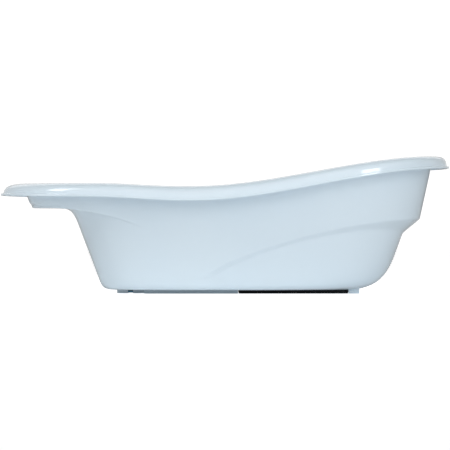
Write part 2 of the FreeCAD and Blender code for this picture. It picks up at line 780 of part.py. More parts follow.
def make_pull_ring():
    """A half ring on a straight bar that turns in the plug's lugs; it lies flat over the flange."""
    bow = part_object(
        "Torus", "bow", Radius1="pull_ring_radius", Radius2="pull_ring_section / 2", Angle3="180"
    )
    bow.Placement.Rotation = FreeCAD.Rotation(UP, -90)
    bar = part_object(
        "Cylinder",
        "bar",
        Radius="hinge_bar / 2",
        Height="2 * pull_ring_radius",
        Placement__Base__y="- pull_ring_radius",
    )
    bar.Placement.Rotation = FreeCAD.Rotation(V(1, 0, 0), -90)
    knuckles = []
    for name, sign in (("near", "-"), ("far", "")):
        knuckle = part_object("Sphere", f"knuckle_{name}", Radius="pull_ring_section / 2")
        knuckles.append(bind(knuckle, Placement__Base__y=f"{sign} pull_ring_radius"))
    ring = joined("pull_ring", [bow, bar] + knuckles)
    return bind(ring, Placement__Base__x="- drain_offset", Placement__Base__z=f"{PLUG_SEAT} + {HINGE_LIFT}")


# ---------------------------------------------------------------------------------------------
# Rubber glides under the floor
# ---------------------------------------------------------------------------------------------


def make_base_glide(side, sign):
    """A rubber strip pushed up over its tongue; its rounded underside touches the ground."""
    glide = new_body(
        f"base_glide_{side}",
        Placement__Base__x="glide_start + glide_length / 2",
        Placement__Base__y=f"{sign} rail_spacing / 2",
    )
    strip = pad(
        glide, rectangle(glide, "strip_outline", "glide_length", "glide_width"), "strip", "floor_clearance"
    )
    rounded_edges(
        glide, strip, "rounded_underside", "glide_width / 8", lambda e: e.BoundBox.ZMax < TOUCH
    )
    feature(
        glide,
        "SubtractiveBox",
        "tongue_slot",
        Length="glide_length - 4 * rail_wall + 2 * running_clearance",
        Width="tongue_width + 2 * running_clearance",
        Height="tongue_depth + running_clearance",
        Placement__Base__x="- glide_length / 2 + 2 * rail_wall - running_clearance",
        Placement__Base__y="- tongue_width / 2 - running_clearance",
        Placement__Base__z="floor_clearance - tongue_depth - running_clearance",
    )
    return glide


# ---------------------------------------------------------------------------------------------
# Soft grip pads on the floor and on the two slopes
# ---------------------------------------------------------------------------------------------


def make_seat_grip_pad():
    grip = new_body(
        "seat_grip_pad",
        Placement__Base__x="seat_pad_start + seat_pad_length / 2",
        Placement__Base__z="floor_clearance + shell_wall + pad_gap",
    )
    outline_sketch = rectangle(
        grip, "pad_outline", "seat_pad_length", "seat_pad_share * overall_width"
    )
    flat = pad(grip, outline_sketch, "flat", "pad_thickness")
    rounded_edges(grip, flat, "rounded_corners", "pad_corner", is_upright)
    return grip


def slope_window(width, height, base, reach):
    """A round-cornered bar along X, as wide and high as a pad on one of the end slopes."""
    block = Part.makeBox(abs(reach), width, height, V(min(0, reach), -width / 2, base))
    along = [e for e in block.Edges if e.BoundBox.XLength > abs(reach) - 1]
    return block.makeFillet(size("pad_corner"), along)


def make_slope_pad(name, kind, sign):
    """A soft skin of even thickness that follows the inside of an end wall."""
    width, height, base = (size(f"{kind}_pad_{part}") for part in ("width", "height", "base"))
    bar = slope_window(width, height, base, sign * HALF_LENGTH)
    gap, thickness = size("pad_gap"), size("pad_thickness")
    follow = skin_surface(offset_poles(outside, WALL + gap))
    patch = follow.common(bar)
    middle = V(patch.CenterOfMass.x, 0, base + height / 2)
    face = patch.Faces[0]
    normal = face.normalAt(*face.Surface.parameter(middle))
    shift = thickness / abs(normal.x)
    return fixed_shape(name, patch.Faces[0].extrude(V(-sign * shift, 0, 0)))


# ---------------------------------------------------------------------------------------------
# Temperature gauge on the floor: a colour-changing strip under a clear window
# ---------------------------------------------------------------------------------------------


def make_gauge_window():
    window = new_body(
        "gauge_window",
        Placement__Base__x="- gauge_offset",
        Placement__Base__z="floor_clearance + shell_wall + pad_gap",
    )
    outline_sketch = rectangle(window, "window_outline", "gauge_width", "gauge_length")
    plate = pad(window, outline_sketch, "plate", "gauge_height")
    rounded_edges(window, plate, "window_corners", "gauge_corner", is_upright)
    recess = rectangle(
        window, "recess_outline", "gauge_width - 2 * strip_margin", "gauge_length - 2 * strip_margin"
    )
    pocket(window, recess, "strip_recess", "strip_thickness + running_clearance")
    return window


def make_gauge_strip():
    strip = new_body(
        "gauge_strip",
        Placement__Base__x="- gauge_offset",
        Placement__Base__z="floor_clearance + shell_wall + pad_gap",
    )
    outline_sketch = rectangle(
        strip,
        "strip_sheet",
        "gauge_width - 2 * ( strip_margin + running_clearance )",
        "gauge_length - 2 * ( strip_margin + running_clearance )",
    )
    pad(strip, outline_sketch, "sheet", "strip_thickness")
    return strip


# ---------------------------------------------------------------------------------------------
# Build, check and write
# ---------------------------------------------------------------------------------------------


def make_parts():
    parts = {
        "tub_shell": make_tub_shell(),
        "drain_plug": make_drain_plug(),
        "plug_seal": make_plug_seal(),
        "plug_pull_ring": make_pull_ring(),
        "seat_grip_pad": make_seat_grip_pad(),
        "back_grip_pad": make_slope_pad("back_grip_pad", "back", 1),
        "foot_grip_pad": make_slope_pad("foot_grip_pad", "foot", -1),
        "gauge_window": make_gauge_window(),
        "gauge_strip": make_gauge_strip(),
    }
    for side, sign in (("left", "-"), ("right", "")):
        parts[f"base_glide_{side}"] = make_base_glide(side, sign)
    for name, part in parts.items():
        part.Label = name
    return parts


def check(parts):
    for item in doc.Objects:
        if "Invalid" in item.State or "Error" in item.State:
            raise RuntimeError(f"{item.Label} failed: {item.State}")
    for name, part in parts.items():
        if part.Shape.isNull() or not part.Shape.isValid() or len(part.Shape.Solids) != 1:
            raise RuntimeError(f"{name} is not one valid solid")


parts = make_parts()
doc.recompute()
check(parts)
os.makedirs("parts", exist_ok=True)
for name, part in parts.items():
    part.Shape.exportStep(f"parts/{name}.step")
    box = part.Shape.BoundBox
    print(f"{name}: {part.Shape.Volume / 1000:.2f} cm3, z {box.ZMin:.2f} to {box.ZMax:.2f}")
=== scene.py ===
"""Baby bathtub in pale blue gloss plastic, on a pale floor in soft studio light.

Sizes are in millimetres and multiplied by MM where they become Blender's metres. X runs along the
tub from the foot end to the head end, and Z is up.
"""

import math

import bmesh
import bpy
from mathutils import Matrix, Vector


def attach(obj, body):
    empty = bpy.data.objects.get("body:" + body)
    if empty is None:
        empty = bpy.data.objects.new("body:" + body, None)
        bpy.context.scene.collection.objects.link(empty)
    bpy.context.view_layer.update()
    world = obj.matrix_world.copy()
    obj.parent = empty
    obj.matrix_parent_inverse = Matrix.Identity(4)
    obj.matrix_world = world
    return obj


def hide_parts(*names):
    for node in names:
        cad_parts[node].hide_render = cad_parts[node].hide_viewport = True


MM = 0.001
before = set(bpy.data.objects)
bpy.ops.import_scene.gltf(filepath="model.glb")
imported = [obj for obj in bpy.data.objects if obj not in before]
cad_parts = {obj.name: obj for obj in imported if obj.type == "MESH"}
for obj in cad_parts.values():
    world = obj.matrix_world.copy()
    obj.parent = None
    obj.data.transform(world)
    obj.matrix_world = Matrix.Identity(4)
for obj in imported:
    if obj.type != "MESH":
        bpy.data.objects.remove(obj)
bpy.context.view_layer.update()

# ---------------------------------------------------------------------------------------------
# Camera and light
# ---------------------------------------------------------------------------------------------
CAMERA_DISTANCE = 8.0
CAMERA_HEIGHT = 0.1415
FIELD_WIDTH = 0.937  # what the camera takes in, across the middle of the tub
SENSOR = 36.0
AIR_LIGHT, AIR_SHINE = 0.05, 0.80
FLOOR_GLOW, FLOOR_BOUNCE = 0.80, 0.10


def make_camera():
    place = (0, -CAMERA_DISTANCE, CAMERA_HEIGHT)
    bpy.ops.object.camera_add(location=place, rotation=(math.pi / 2, 0, 0))
    camera = bpy.context.object
    camera.name = "camera"
    camera.data.sensor_width = SENSOR
    camera.data.lens = SENSOR * CAMERA_DISTANCE / FIELD_WIDTH
    camera.data.clip_end = 60
    bpy.context.scene.camera = camera


def make_softbox(name, place, target, width, height, power, color=(1, 1, 1)):
    """A rectangular area light at a place, turned to face a target."""
    bpy.ops.object.light_add(type="AREA", location=place)
    light = bpy.context.object
    light.name = name
    light.data.shape = "RECTANGLE"
    light.data.size, light.data.size_y = width, height
    light.data.energy = power
    light.data.color = color
    light.rotation_euler = (Vector(target) - Vector(place)).to_track_quat("-Z", "Y").to_euler()
    light.visible_camera = False
    return light


def make_world():
    """White to the camera, pale in reflections, and softer than both as light."""
    world = bpy.data.worlds.new("studio_air")
    bpy.context.scene.world = world
    world.use_nodes = True
    nodes, link = world.node_tree.nodes, world.node_tree.links.new
    path = nodes.new("ShaderNodeLightPath")
    last = nodes["Background"]
    last.inputs["Strength"].default_value = AIR_LIGHT
    for ray, strength in (("Is Glossy Ray", AIR_SHINE), ("Is Camera Ray", 1.1)):
        air = nodes.new("ShaderNodeBackground")
        air.inputs["Strength"].default_value = strength
        blend = nodes.new("ShaderNodeMixShader")
        link(path.outputs[ray], blend.inputs["Fac"])
        link(last.outputs[0], blend.inputs[1])
        link(air.outputs["Background"], blend.inputs[2])
        last = blend
    for name in ("Background", "Background.001", "Background.002"):
        nodes[name].inputs["Color"].default_value = (1, 1, 1, 1)
    link(last.outputs["Shader"], nodes["World Output"].inputs["Surface"])


def make_stage():
    bpy.ops.mesh.primitive_plane_add(size=30, location=(0, 0, -0.0005))
    floor = bpy.context.object
    floor.name = "studio_floor"
    paint = bpy.data.materials.new("pale_floor")
    paint.use_nodes = True
    shader = paint.node_tree.nodes["Principled BSDF"]
    shader.inputs["Base Color"].default_value = (0.9, 0.9, 0.9, 1)
    shader.inputs["Roughness"].default_value = 0.9
    shader.inputs["Emission Color"].default_value = (1, 1, 1, 1)
    seen = paint.node_tree.nodes.new("ShaderNodeLightPath")
    glow = paint.node_tree.nodes.new("ShaderNodeMath")
    glow.operation = "MULTIPLY_ADD"
    glow.inputs[1].default_value = FLOOR_GLOW
    glow.inputs[2].default_value = FLOOR_BOUNCE
    paint.node_tree.links.new(seen.outputs["Is Camera Ray"], glow.inputs[0])
    paint.node_tree.links.new(glow.outputs["Value"], shader.inputs["Emission Strength"])
    floor.data.materials.append(paint)


def light_studio():
    bpy.context.scene.view_settings.view_transform = "Standard"
    make_world()
    make_softbox("left_box", (-1.95, -1.15, 2.05), (-0.337, -0.215, 0.21), 0.7, 1.0, 18)
    make_softbox("right_box", (1.62, -2.25, 0.85), (0.315, -0.22, 0.25), 0.50, 1.7, 20)
    make_softbox("left_fill", (-2.6, -1.5, 0.5), (-0.2, 0, 0.12), 1.6, 1.0, 6)
    make_softbox("front_box", (0.0, -1.9, 1.5), (0, 0, 0.1), 4.0, 2.4, 24)
    make_softbox("back_box", (0.0, 2.2, 1.7), (0, 0, 0.15), 3.4, 1.4, 10)


# ---------------------------------------------------------------------------------------------
# Hand tools for modelling
# ---------------------------------------------------------------------------------------------


def clear_selection():
    if bpy.context.object and bpy.context.object.mode != "OBJECT":
        bpy.ops.object.mode_set(mode="OBJECT")
    bpy.ops.object.select_all(action="DESELECT")


def make_active(piece):
    clear_selection()
    piece.select_set(True)
    bpy.context.view_layer.objects.active = piece


def edit(piece):
    make_active(piece)
    bpy.ops.object.mode_set(mode="EDIT")


def done():
    bpy.ops.object.mode_set(mode="OBJECT")


def apply_modifiers(piece):
    make_active(piece)
    for modifier in list(piece.modifiers):
        bpy.ops.object.modifier_apply(modifier=modifier.name)


def settle(piece):
    """Puts the piece's place into its mesh, with its object at the origin."""
    make_active(piece)
    bpy.ops.object.transform_apply(location=True, rotation=True, scale=True)


def smooth(piece, degrees=35):
    make_active(piece)
    bpy.ops.object.shade_smooth_by_angle(angle=math.radians(degrees))


def select_where(piece, chosen, kind="verts"):
    """Selects the vertices, edges or faces for which the function chosen is true."""
    bpy.ops.mesh.select_all(action="DESELECT")
    mesh = bmesh.from_edit_mesh(piece.data)
    for item in getattr(mesh, kind):
        if chosen(item):
            item.select_set(True)
    mesh.select_flush(True)
    bmesh.update_edit_mesh(piece.data)


def join(name, pieces):
    clear_selection()
    for piece in pieces:
        piece.select_set(True)
    bpy.context.view_layer.objects.active = pieces[0]
    if len(pieces) > 1:
        bpy.ops.object.join()
    pieces[0].name = name
    pieces[0].data.name = name
    return pieces[0]


# ---------------------------------------------------------------------------------------------
# Shape of the moulding
# ---------------------------------------------------------------------------------------------
HALF_LENGTH, HALF_WIDTH = 465.0, 255.0
HEAD_RIM, FOOT_RIM, WAIST_RIM = 283.0, 227.0, 220.5
WALL, BASE = 3.0, 8.0
FLOOR = BASE + WALL
END_RIM_DROP, SIDE_RIM_DROP = 24.5, 29.8
LIP_REACH, END_LIP_REACH, LIP_HEIGHT, LIP_RADIUS = 2.0, 5.0, 4.5, 0.6
FOOT_ROLL, SIDE_ROLL, HEAD_ROLL = 35.0, 24.0, 15.0
FOOT_FLANGE, SIDE_FLANGE, HEAD_FLANGE = 45.0, 42.0, 32.0
LEDGE_HEIGHT, LEDGE_DEPTH = 176.0, 84.5
STEP_HEIGHT, STEP_RISE, SIDE_STEP_RISE = 153.0, 28.0, 10.0
HEAD_STEP, SIDE_STEP = 25.0, 5.5
STATIONS = 72
RIM_SQUARENESS, ROLL_FULLNESS = 2.9, 0.85
FOOT_SQUARENESS, LEDGE_SQUARENESS, HEAD_SQUARENESS = 3.8, 3.1, 2.9
FOOT_SLOPE, LEDGE_SLOPE, SIDE_SLOPE = 0.375, 0.40, 0.20
HEAD_LOWER_SLOPE, HEAD_UPPER_SLOPE = 0.36, 0.221
CORNER_HEIGHT, CORNER_WIDTH, CORNER_SOFTNESS = 18.0, 22.0, 0.08
HEAD_CORNER_HEIGHT, HEAD_CORNER_WIDTH, HEAD_CORNER_SOFTNESS = 28.0, 30.0, 0.46
FOOT_CORNER_WIDTH, FLAT_RUN = 3.0, 6.0
STEP_EDGE, CLEAR_OF_CORNER, CLEAR_OF_STEP, CLEAR_OF_RIM = 3.0, 5.0, 12.0, 12.0
LEDGE_TURN = (66.0, 42.0)  # below the ledge: rows where the wall turns out towards it
# share of the ledge's depth, and how far the outline there has turned into the ledge's own
LEDGE_ROWS = ((0.0, 0.3), (0.35, 0.6), (0.90, 1.0), (1.0, 1.0))
LEDGE_LIFT, LEDGE_LEAN = 8.0, 0.5  # of the short upright edge round the ledge
LEDGE_FADE = (0.2, 0.8)  # round towards the foot end, where the ledge begins and is whole
# reach of the wall at the first height over the ledge, given to a row at the second
LEDGE_FOLD = ((12.0, 9.5), (22.0, 22.0))


def ease(share):
    """0 to 1 with no kink at either end."""
    share = min(1.0, max(0.0, share))
    return share * share * (3 - 2 * share)


def mix(start, end, share):
    return start + (end - start) * share


def rim_top(x):
    """Height of the rim's top: level at the foot end, a shallow waist, and a rise to the head end."""
    foot = ease((-0.20 * HALF_LENGTH - x) / (0.37 * HALF_LENGTH))
    head = ease((x + 0.145 * HALF_LENGTH) / (1.10 * HALF_LENGTH))
    waist = WAIST_RIM
    rise = foot * (FOOT_RIM - waist) + head * (HEAD_RIM - waist)
    return waist + rise


def step_top(x):
    """Height of the upper edge of the step, which falls from the head end towards the foot end."""
    start, end = -0.28 * HALF_LENGTH, 0.945 * HALF_LENGTH
    share = min(1.0, max(0.0, (end - x) / (end - start)))
    return mix(STEP_HEIGHT, BASE, share**1.8)


def step_depth(x):
    """How far the side wall steps in below the step, fading out towards the foot end."""
    return SIDE_STEP * ease((x + 0.28 * HALF_LENGTH) / (0.25 * HALF_LENGTH))


def side_reach(height, x, below_step):
    top = HALF_WIDTH - SIDE_FLANGE
    reach = top - SIDE_SLOPE * (WAIST_RIM - height)
    return reach - step_depth(x) if below_step else reach


def head_reach(height, below_step):
    top = HALF_LENGTH - HEAD_FLANGE
    upper = top - HEAD_UPPER_SLOPE * (HEAD_RIM - height)
    if not below_step:
        return upper
    edge = top - HEAD_UPPER_SLOPE * (HEAD_RIM - STEP_HEIGHT)
    return edge - HEAD_STEP - HEAD_LOWER_SLOPE * (STEP_HEIGHT - height)


def ledge_edge():
    """Reach of the foot end wall where the soap ledge's underside meets it."""
    top = HALF_LENGTH - FOOT_FLANGE
    return top - LEDGE_SLOPE * (FOOT_RIM - WALL - LEDGE_HEIGHT)


def foot_reach(height, above_ledge):
    if above_ledge:
        return ledge_edge() + LEDGE_SLOPE * (height - LEDGE_HEIGHT)
    inner = ledge_edge() - LEDGE_DEPTH
    return inner - FOOT_SLOPE * (LEDGE_HEIGHT - height)


def rim_drop(angle):
    """From the rim's top down to the underside of its lip."""
    return mix(SIDE_RIM_DROP, END_RIM_DROP, math.cos(angle) ** 2)


def lip_reach(angle):
    """How far the lip stands out: most at the two ends."""
    return mix(LIP_REACH, END_LIP_REACH, math.cos(angle) ** 4)


def outline(angle, reach_x, reach_y, squareness):
    """A point of a rounded-rectangle outline in plan, at an angle round its centre."""
    c, s = math.cos(angle), math.sin(angle)
    grow = (abs(c) ** squareness + abs(s) ** squareness) ** (-1 / squareness)
    return reach_x * c * grow, reach_y * s * grow


def rim_point(angle, inset, drop):
    """A point of the rim: inset from the rim's edge, and dropped from the rim's top."""
    x, y = outline(angle, HALF_LENGTH - inset, HALF_WIDTH - inset, RIM_SQUARENESS)
    return Vector((x, y, rim_top(x) - drop))


def wall_point(angle, height, reach_x, x, below_step, squareness):
    """A point of the wall at a height, its reach along X given and its reach along Y worked out."""
    px, py = outline(angle, reach_x, side_reach(height, x, below_step), squareness)
    return Vector((px, py, height))


def flange_x(angle):
    """Where a station's wall meets the flange, along the tub."""
    return outline(angle, HALF_LENGTH - HEAD_FLANGE, HALF_WIDTH, HEAD_SQUARENESS)[0]


def wall_points(angle):
    """Outside of the wall at one station, from the flat of the floor up to just below the rim."""
    c = math.cos(angle)
    head, foot = max(0.0, c) ** 2, max(0.0, -c) ** 2
    x = flange_x(angle)
    low_squareness = mix(HEAD_SQUARENESS, FOOT_SQUARENESS, ease(-2 * c))

    def reach_x(height, below_step=True):
        return foot_reach(height, False) if c < 0 else head_reach(height, below_step)

    # the floor's corner: flat, a softened corner, and the start of the wall
    corner_end = BASE + CORNER_HEIGHT + HEAD_CORNER_HEIGHT * head
    flat = CORNER_WIDTH + HEAD_CORNER_WIDTH * head + FOOT_CORNER_WIDTH * foot
    soft = CORNER_SOFTNESS + HEAD_CORNER_SOFTNESS * head
    corner = wall_point(angle, BASE, reach_x(BASE), x, True, low_squareness)
    flat_reach = reach_x(BASE) - flat
    side_flat = side_reach(BASE, x, True) - flat
    flat_xy = outline(angle, flat_reach, side_flat, low_squareness)
    start = Vector((flat_xy[0], flat_xy[1], BASE))
    end = wall_point(angle, corner_end, reach_x(corner_end), x, True, low_squareness)
    inner = outline(angle, flat_reach - FLAT_RUN, side_flat - FLAT_RUN, low_squareness)
    softened = corner + ((start + end) / 2 - corner) * soft
    points = [Vector((inner[0], inner[1], BASE)), start, softened, end]

    # the step, or its place in the plain wall where there is none
    rise = mix(SIDE_STEP_RISE, STEP_RISE, head**2)
    low = max(step_top(x) - rise, corner_end + CLEAR_OF_CORNER)
    high = low + rise
    below_low = low - STEP_EDGE
    before, after = (corner_end + below_low) / 2, high + CLEAR_OF_STEP
    for height in (before, below_low, low):
        points.append(wall_point(angle, height, reach_x(height), x, True, low_squareness))
    for height in (high, high + STEP_EDGE, after):
        points.append(wall_point(angle, height, reach_x(height, False), x, False, low_squareness))

    # the upper wall, which turns out into the soap ledge at the foot end
    top = rim_top(x) - WALL - CLEAR_OF_RIM
    ledge, edge = LEDGE_HEIGHT, ledge_edge()
    inner_edge = edge - LEDGE_DEPTH
    at_foot = [(foot_reach(ledge - down, False), ledge - down, 0.0) for down in LEDGE_TURN]
    at_foot += [(mix(inner_edge, edge, along), ledge, above) for along, above in LEDGE_ROWS]
    at_foot += [(edge + LEDGE_LEAN, ledge + LEDGE_LIFT, 1.0)]
    at_foot += [(foot_reach(ledge + of, True), ledge + up, 1.0) for of, up in LEDGE_FOLD]
    share = ease((-c - LEDGE_FADE[0]) / (LEDGE_FADE[1] - LEDGE_FADE[0]))
    for number, (reach, foot_height, above) in enumerate(at_foot, start=1):
        even = mix(after, top, number / (len(at_foot) + 1))
        height = mix(even, foot_height, share)
        square = mix(low_squareness, LEDGE_SQUARENESS, above) if c < 0 else HEAD_SQUARENESS
        across = reach if c < 0 else head_reach(height, False)
        points.append(wall_point(angle, height, across, x, False, square))
    return points


def under_rim_points(angle):
    """Top of the wall, the flange's underside and the inside of the roll, down to its bottom."""
    c = math.cos(angle)
    head, foot = max(0.0, c) ** 2, max(0.0, -c) ** 2
    square = mix(HEAD_SQUARENESS, LEDGE_SQUARENESS, foot)
    roll = SIDE_ROLL
    roll += head * (HEAD_ROLL - roll) + foot * (FOOT_ROLL - roll)
    crest = lip_reach(angle) + roll
    reach_x = foot_reach if c < 0 else head_reach
    at_foot = c < 0
    points = []
    for below in (WALL + CLEAR_OF_RIM, WALL):
        x = flange_x(angle)
        height = rim_top(x) - below
        points.append(wall_point(angle, height, reach_x(height, at_foot), x, False, square))
    corner_inset = HALF_WIDTH - side_reach(points[-1].z, 0, False)
    end_inset = HALF_LENGTH - reach_x(points[-1].z, at_foot)
    inset = mix(corner_inset, end_inset, head + foot)
    points.append(rim_point(angle, (inset + crest) / 2, WALL))
    inner = lip_reach(angle) + WALL
    drop = rim_drop(angle) - LIP_HEIGHT - LIP_REACH
    for degrees in (0, 30, 60, 90):
        turn = math.radians(degrees)
        across = crest - (crest - inner) * math.sin(turn) ** ROLL_FULLNESS
        down = drop - (drop - WALL) * math.cos(turn) ** ROLL_FULLNESS
        points.append(rim_point(angle, across, down))
    return points


def lip_points(angle):
    """The lip: underside corner, outer lower and upper corners, and the corner with the roll."""
    drop, reach = rim_drop(angle), lip_reach(angle)
    upper = drop - LIP_HEIGHT
    places = (
        (reach + WALL, drop),
        (LIP_RADIUS, drop),
        (0, drop),
        (0, upper),
        (LIP_RADIUS, upper),
        (reach, upper),
    )
    return [rim_point(angle, inset, down) for inset, down in places]


def offset_points(columns, distance):
    """Poles moved off the outside, towards the inside of the tub, keeping the wall's thickness."""
    count, rows = len(columns), len(columns[0])
    moved = []
    for i, column in enumerate(columns):
        around = [columns[(i + 1) % count][j] - columns[i - 1][j] for j in range(rows)]
        new = []
        for j, point in enumerate(column):
            before = point - column[j - 1] if j > 0 else column[1] - point
            after = column[j + 1] - point if j < rows - 1 else before
            n1 = before.cross(around[j]).normalized()
            n2 = after.cross(around[j]).normalized()
            new.append(point + (n1 + n2) * (distance / (1 + n1.dot(n2))))
        moved.append(new)
    return moved


def through_points(columns):
    """Points of a cage whose smooth skin passes through the given points round the tub."""
    count = len(columns)
    fitted = []
    for i, column in enumerate(columns):
        before, after = columns[i - 1], columns[(i + 1) % count]
        fitted.append([p * (4 / 3) - (a + b) / 6 for p, a, b in zip(column, before, after)])
    return fitted


def station_angles():
    """From the far side round."""
    return [2 * math.pi * (i / STATIONS + 0.25) for i in range(STATIONS)]


def moulding_rings():
    """Rings of the cage, from the floor up the outside, round the lip and down the inside."""
    angles = station_angles()
    outside = [wall_points(a) + under_rim_points(a) for a in angles]
    inside = offset_points(outside, WALL)
    columns = [out + lip_points(a) + back[::-1] for a, out, back in zip(angles, outside, inside)]
    fitted = through_points(columns)
    return [[column[row] * MM for column in fitted] for row in range(len(fitted[0]))]


# ---------------------------------------------------------------------------------------------
# Tub
# ---------------------------------------------------------------------------------------------
DRAIN_X, DRAIN_BORE, DRAIN_SEAT, DRAIN_SEAT_DEPTH = -196.0, 19.0, 24.5, 1.2
RING_OUTER, RING_INNER, RING_NOTCH = 29.0, 25.5, 10.5
STOP_X, STOP_REACH, STOP_RISE = 10.0, 56.0, 27.0
STOP_STEPS, STOP_TIP = 10, 0.4  # rings along each arc of the stop, and radius of the last one
RAIL_Y, RAIL_WIDTH, RAIL_WALL, RAIL_BITE, RAIL_START, RAIL_TOE = 70.0, 14.0, 2.5, 2.2, -167.0, 22.0
RAIL_EDGE = 0.8  # radius along the ground
TOE_LIFT = 2.0  # of the toe's upper end, up into the floor's corner
GLIDE_START, GLIDE_END, GLIDE_WIDTH, GLIDE_GAP = 28.0, 254.0, 12.0, 1.0
TONGUE_WIDTH, TONGUE_DEPTH = 3.0, 5.0
RIB_WIDTH, RIB_RISE, RIB_LENGTH, RIB_INSET, RIB_SPACING = 3.0, 2.0, 46.0, 14.0, 22.0
SEAT_PAD_START, SEAT_PAD_LENGTH, SEAT_PAD_WIDTH = 82.0, 132.0, 147.9
BACK_PAD_WIDTH, BACK_PAD_HEIGHT, BACK_PAD_BASE = 170.0, 58.0, 54.0
FOOT_PAD_WIDTH, FOOT_PAD_HEIGHT, FOOT_PAD_BASE = 150.0, 84.0, 50.0
GAUGE_X, GAUGE_WIDTH, GAUGE_LENGTH, GAUGE_CORNER, GAUGE_RISE = -108.0, 18.0, 56.0, 5.0, 1.6


def place_ring(piece, ring, previous):
    """Moves the selected ring of vertices to its place; previous tells which vertex is which."""
    mesh = bmesh.from_edit_mesh(piece.data)
    for vertex in [v for v in mesh.verts if v.select]:
        station = min(range(STATIONS), key=lambda i: (previous[i] - vertex.co).length_squared)
        vertex.co = ring[station]
    bmesh.update_edit_mesh(piece.data)


def make_tub_skin():
    """A ring of edges drawn up the outside, round the lip and down the inside, then smoothed."""
    rings = moulding_rings()
    clear_selection()
    bpy.ops.mesh.primitive_circle_add(vertices=STATIONS, radius=1)
    tub = bpy.context.object
    edit(tub)
    circle = [Vector((math.cos(a), math.sin(a), 0)) for a in station_angles()]
    place_ring(tub, rings[0], circle)
    for below, ring in zip(rings, rings[1:]):
        bpy.ops.mesh.extrude_region_move()
        place_ring(tub, ring, below)
    done()
    subdivide = tub.modifiers.new("smooth_skin", "SUBSURF")
    subdivide.levels = subdivide.render_levels = 2
    apply_modifiers(tub)
    return tub


def add_circle(x, radius, height, count=64):
    """A circle of edges in the open mesh, left selected on its own."""
    bpy.ops.mesh.select_all(action="DESELECT")
    place = (x * MM, 0, height * MM)
    bpy.ops.mesh.primitive_circle_add(vertices=count, radius=radius * MM, location=place)


def open_at(height):
    """Chooses the edges at a height that have no face, or a face on one side only."""

    def chosen(edge):
        level = all(abs(v.co.z - height * MM) < 0.01 * MM for v in edge.verts)
        return level and len(edge.link_faces) < 2

    return chosen


def draw_circle_in(radius_from, radius_to, rise=0.0):
    """Extrudes the selected circle, scales it from one radius to the other, and lifts it."""
    bpy.ops.mesh.extrude_region_move(TRANSFORM_OT_translate={"value": (0, 0, rise * MM)})
    factor = radius_to / radius_from
    if factor != 1:
        bpy.ops.transform.resize(value=(factor, factor, 1))


def draw_stop(radius_change):
    """Draws the selected circle in and up over the seat stop, along two arcs."""
    bend = (STOP_REACH**2 + STOP_RISE**2) / (4 * STOP_RISE)
    middle = math.asin(STOP_REACH / (2 * bend))
    foot, crown = bend + radius_change, bend - radius_change
    places = []
    for step in range(1, STOP_STEPS + 1):
        turn = middle * step / STOP_STEPS
        places.append((STOP_REACH - foot * math.sin(turn), bend - foot * math.cos(turn)))
    for step in range(1, STOP_STEPS + 1):
        turn = middle * (1 - step / STOP_STEPS)
        radius = max(crown * math.sin(turn), STOP_TIP)
        places.append((radius, STOP_RISE - bend + crown * math.cos(turn)))
    last_radius, last_height = STOP_REACH, -radius_change
    for radius, height in places:
        draw_circle_in(last_radius, radius, height - last_height)
        last_radius, last_height = radius, height
    bpy.ops.mesh.edge_face_add()


def make_floor(tub):
    """Fills the flat floor inside and out, round the seat stop and the drain."""
    edit(tub)
    for height, seat, change in ((FLOOR, DRAIN_SEAT, 0.0), (BASE, RING_INNER, WALL)):
        add_circle(STOP_X, STOP_REACH, height)
        add_circle(DRAIN_X, seat, height)
        select_where(tub, open_at(height), "edges")
        bpy.ops.mesh.fill(use_beauty=True)
        select_where(tub, near_circle(STOP_X, STOP_REACH, height), "verts")
        draw_stop(change)
    select_where(tub, near_circle(DRAIN_X, DRAIN_SEAT, FLOOR), "verts")
    draw_circle_in(DRAIN_SEAT, DRAIN_SEAT, -DRAIN_SEAT_DEPTH)
    draw_circle_in(DRAIN_SEAT, DRAIN_BORE)
    draw_circle_in(DRAIN_BORE, DRAIN_BORE, BASE - FLOOR + DRAIN_SEAT_DEPTH)
    draw_circle_in(DRAIN_BORE, RING_INNER)
    bpy.ops.mesh.select_all(action="SELECT")
    bpy.ops.mesh.remove_doubles(threshold=0.02 * MM)
    bpy.ops.mesh.normals_make_consistent(inside=False)
    done()


def near_circle(x, radius, height):
    def chosen(vertex):
        reach = math.hypot(vertex.co.x - x * MM, vertex.co.y)
        return abs(vertex.co.z - height * MM) < 0.01 * MM and abs(reach - radius * MM) < 0.01 * MM

    return chosen


def is_low(face):
    return face.normal.z < -0.99


def rounded_box(name, low, high, radius, chosen):
    """A box between two corners in millimetres, with the edges that chosen picks rounded."""
    clear_selection()
    middle = [(a + b) / 2 * MM for a, b in zip(low, high)]
    sides = [(b - a) * MM for a, b in zip(low, high)]
    bpy.ops.mesh.primitive_cube_add(size=1, location=middle, scale=sides)
    piece = bpy.context.object
    piece.name = name
    settle(piece)
    edit(piece)
    select_where(piece, chosen, "edges")
    bpy.ops.mesh.bevel(offset=radius * MM, segments=3, affect="EDGES")
    done()
    return piece


def edges_at(height):
    """Chooses the edges that lie level at a height."""

    def chosen(edge):
        return all(abs(v.co.z - height * MM) < 0.01 * MM for v in edge.verts)

    return chosen


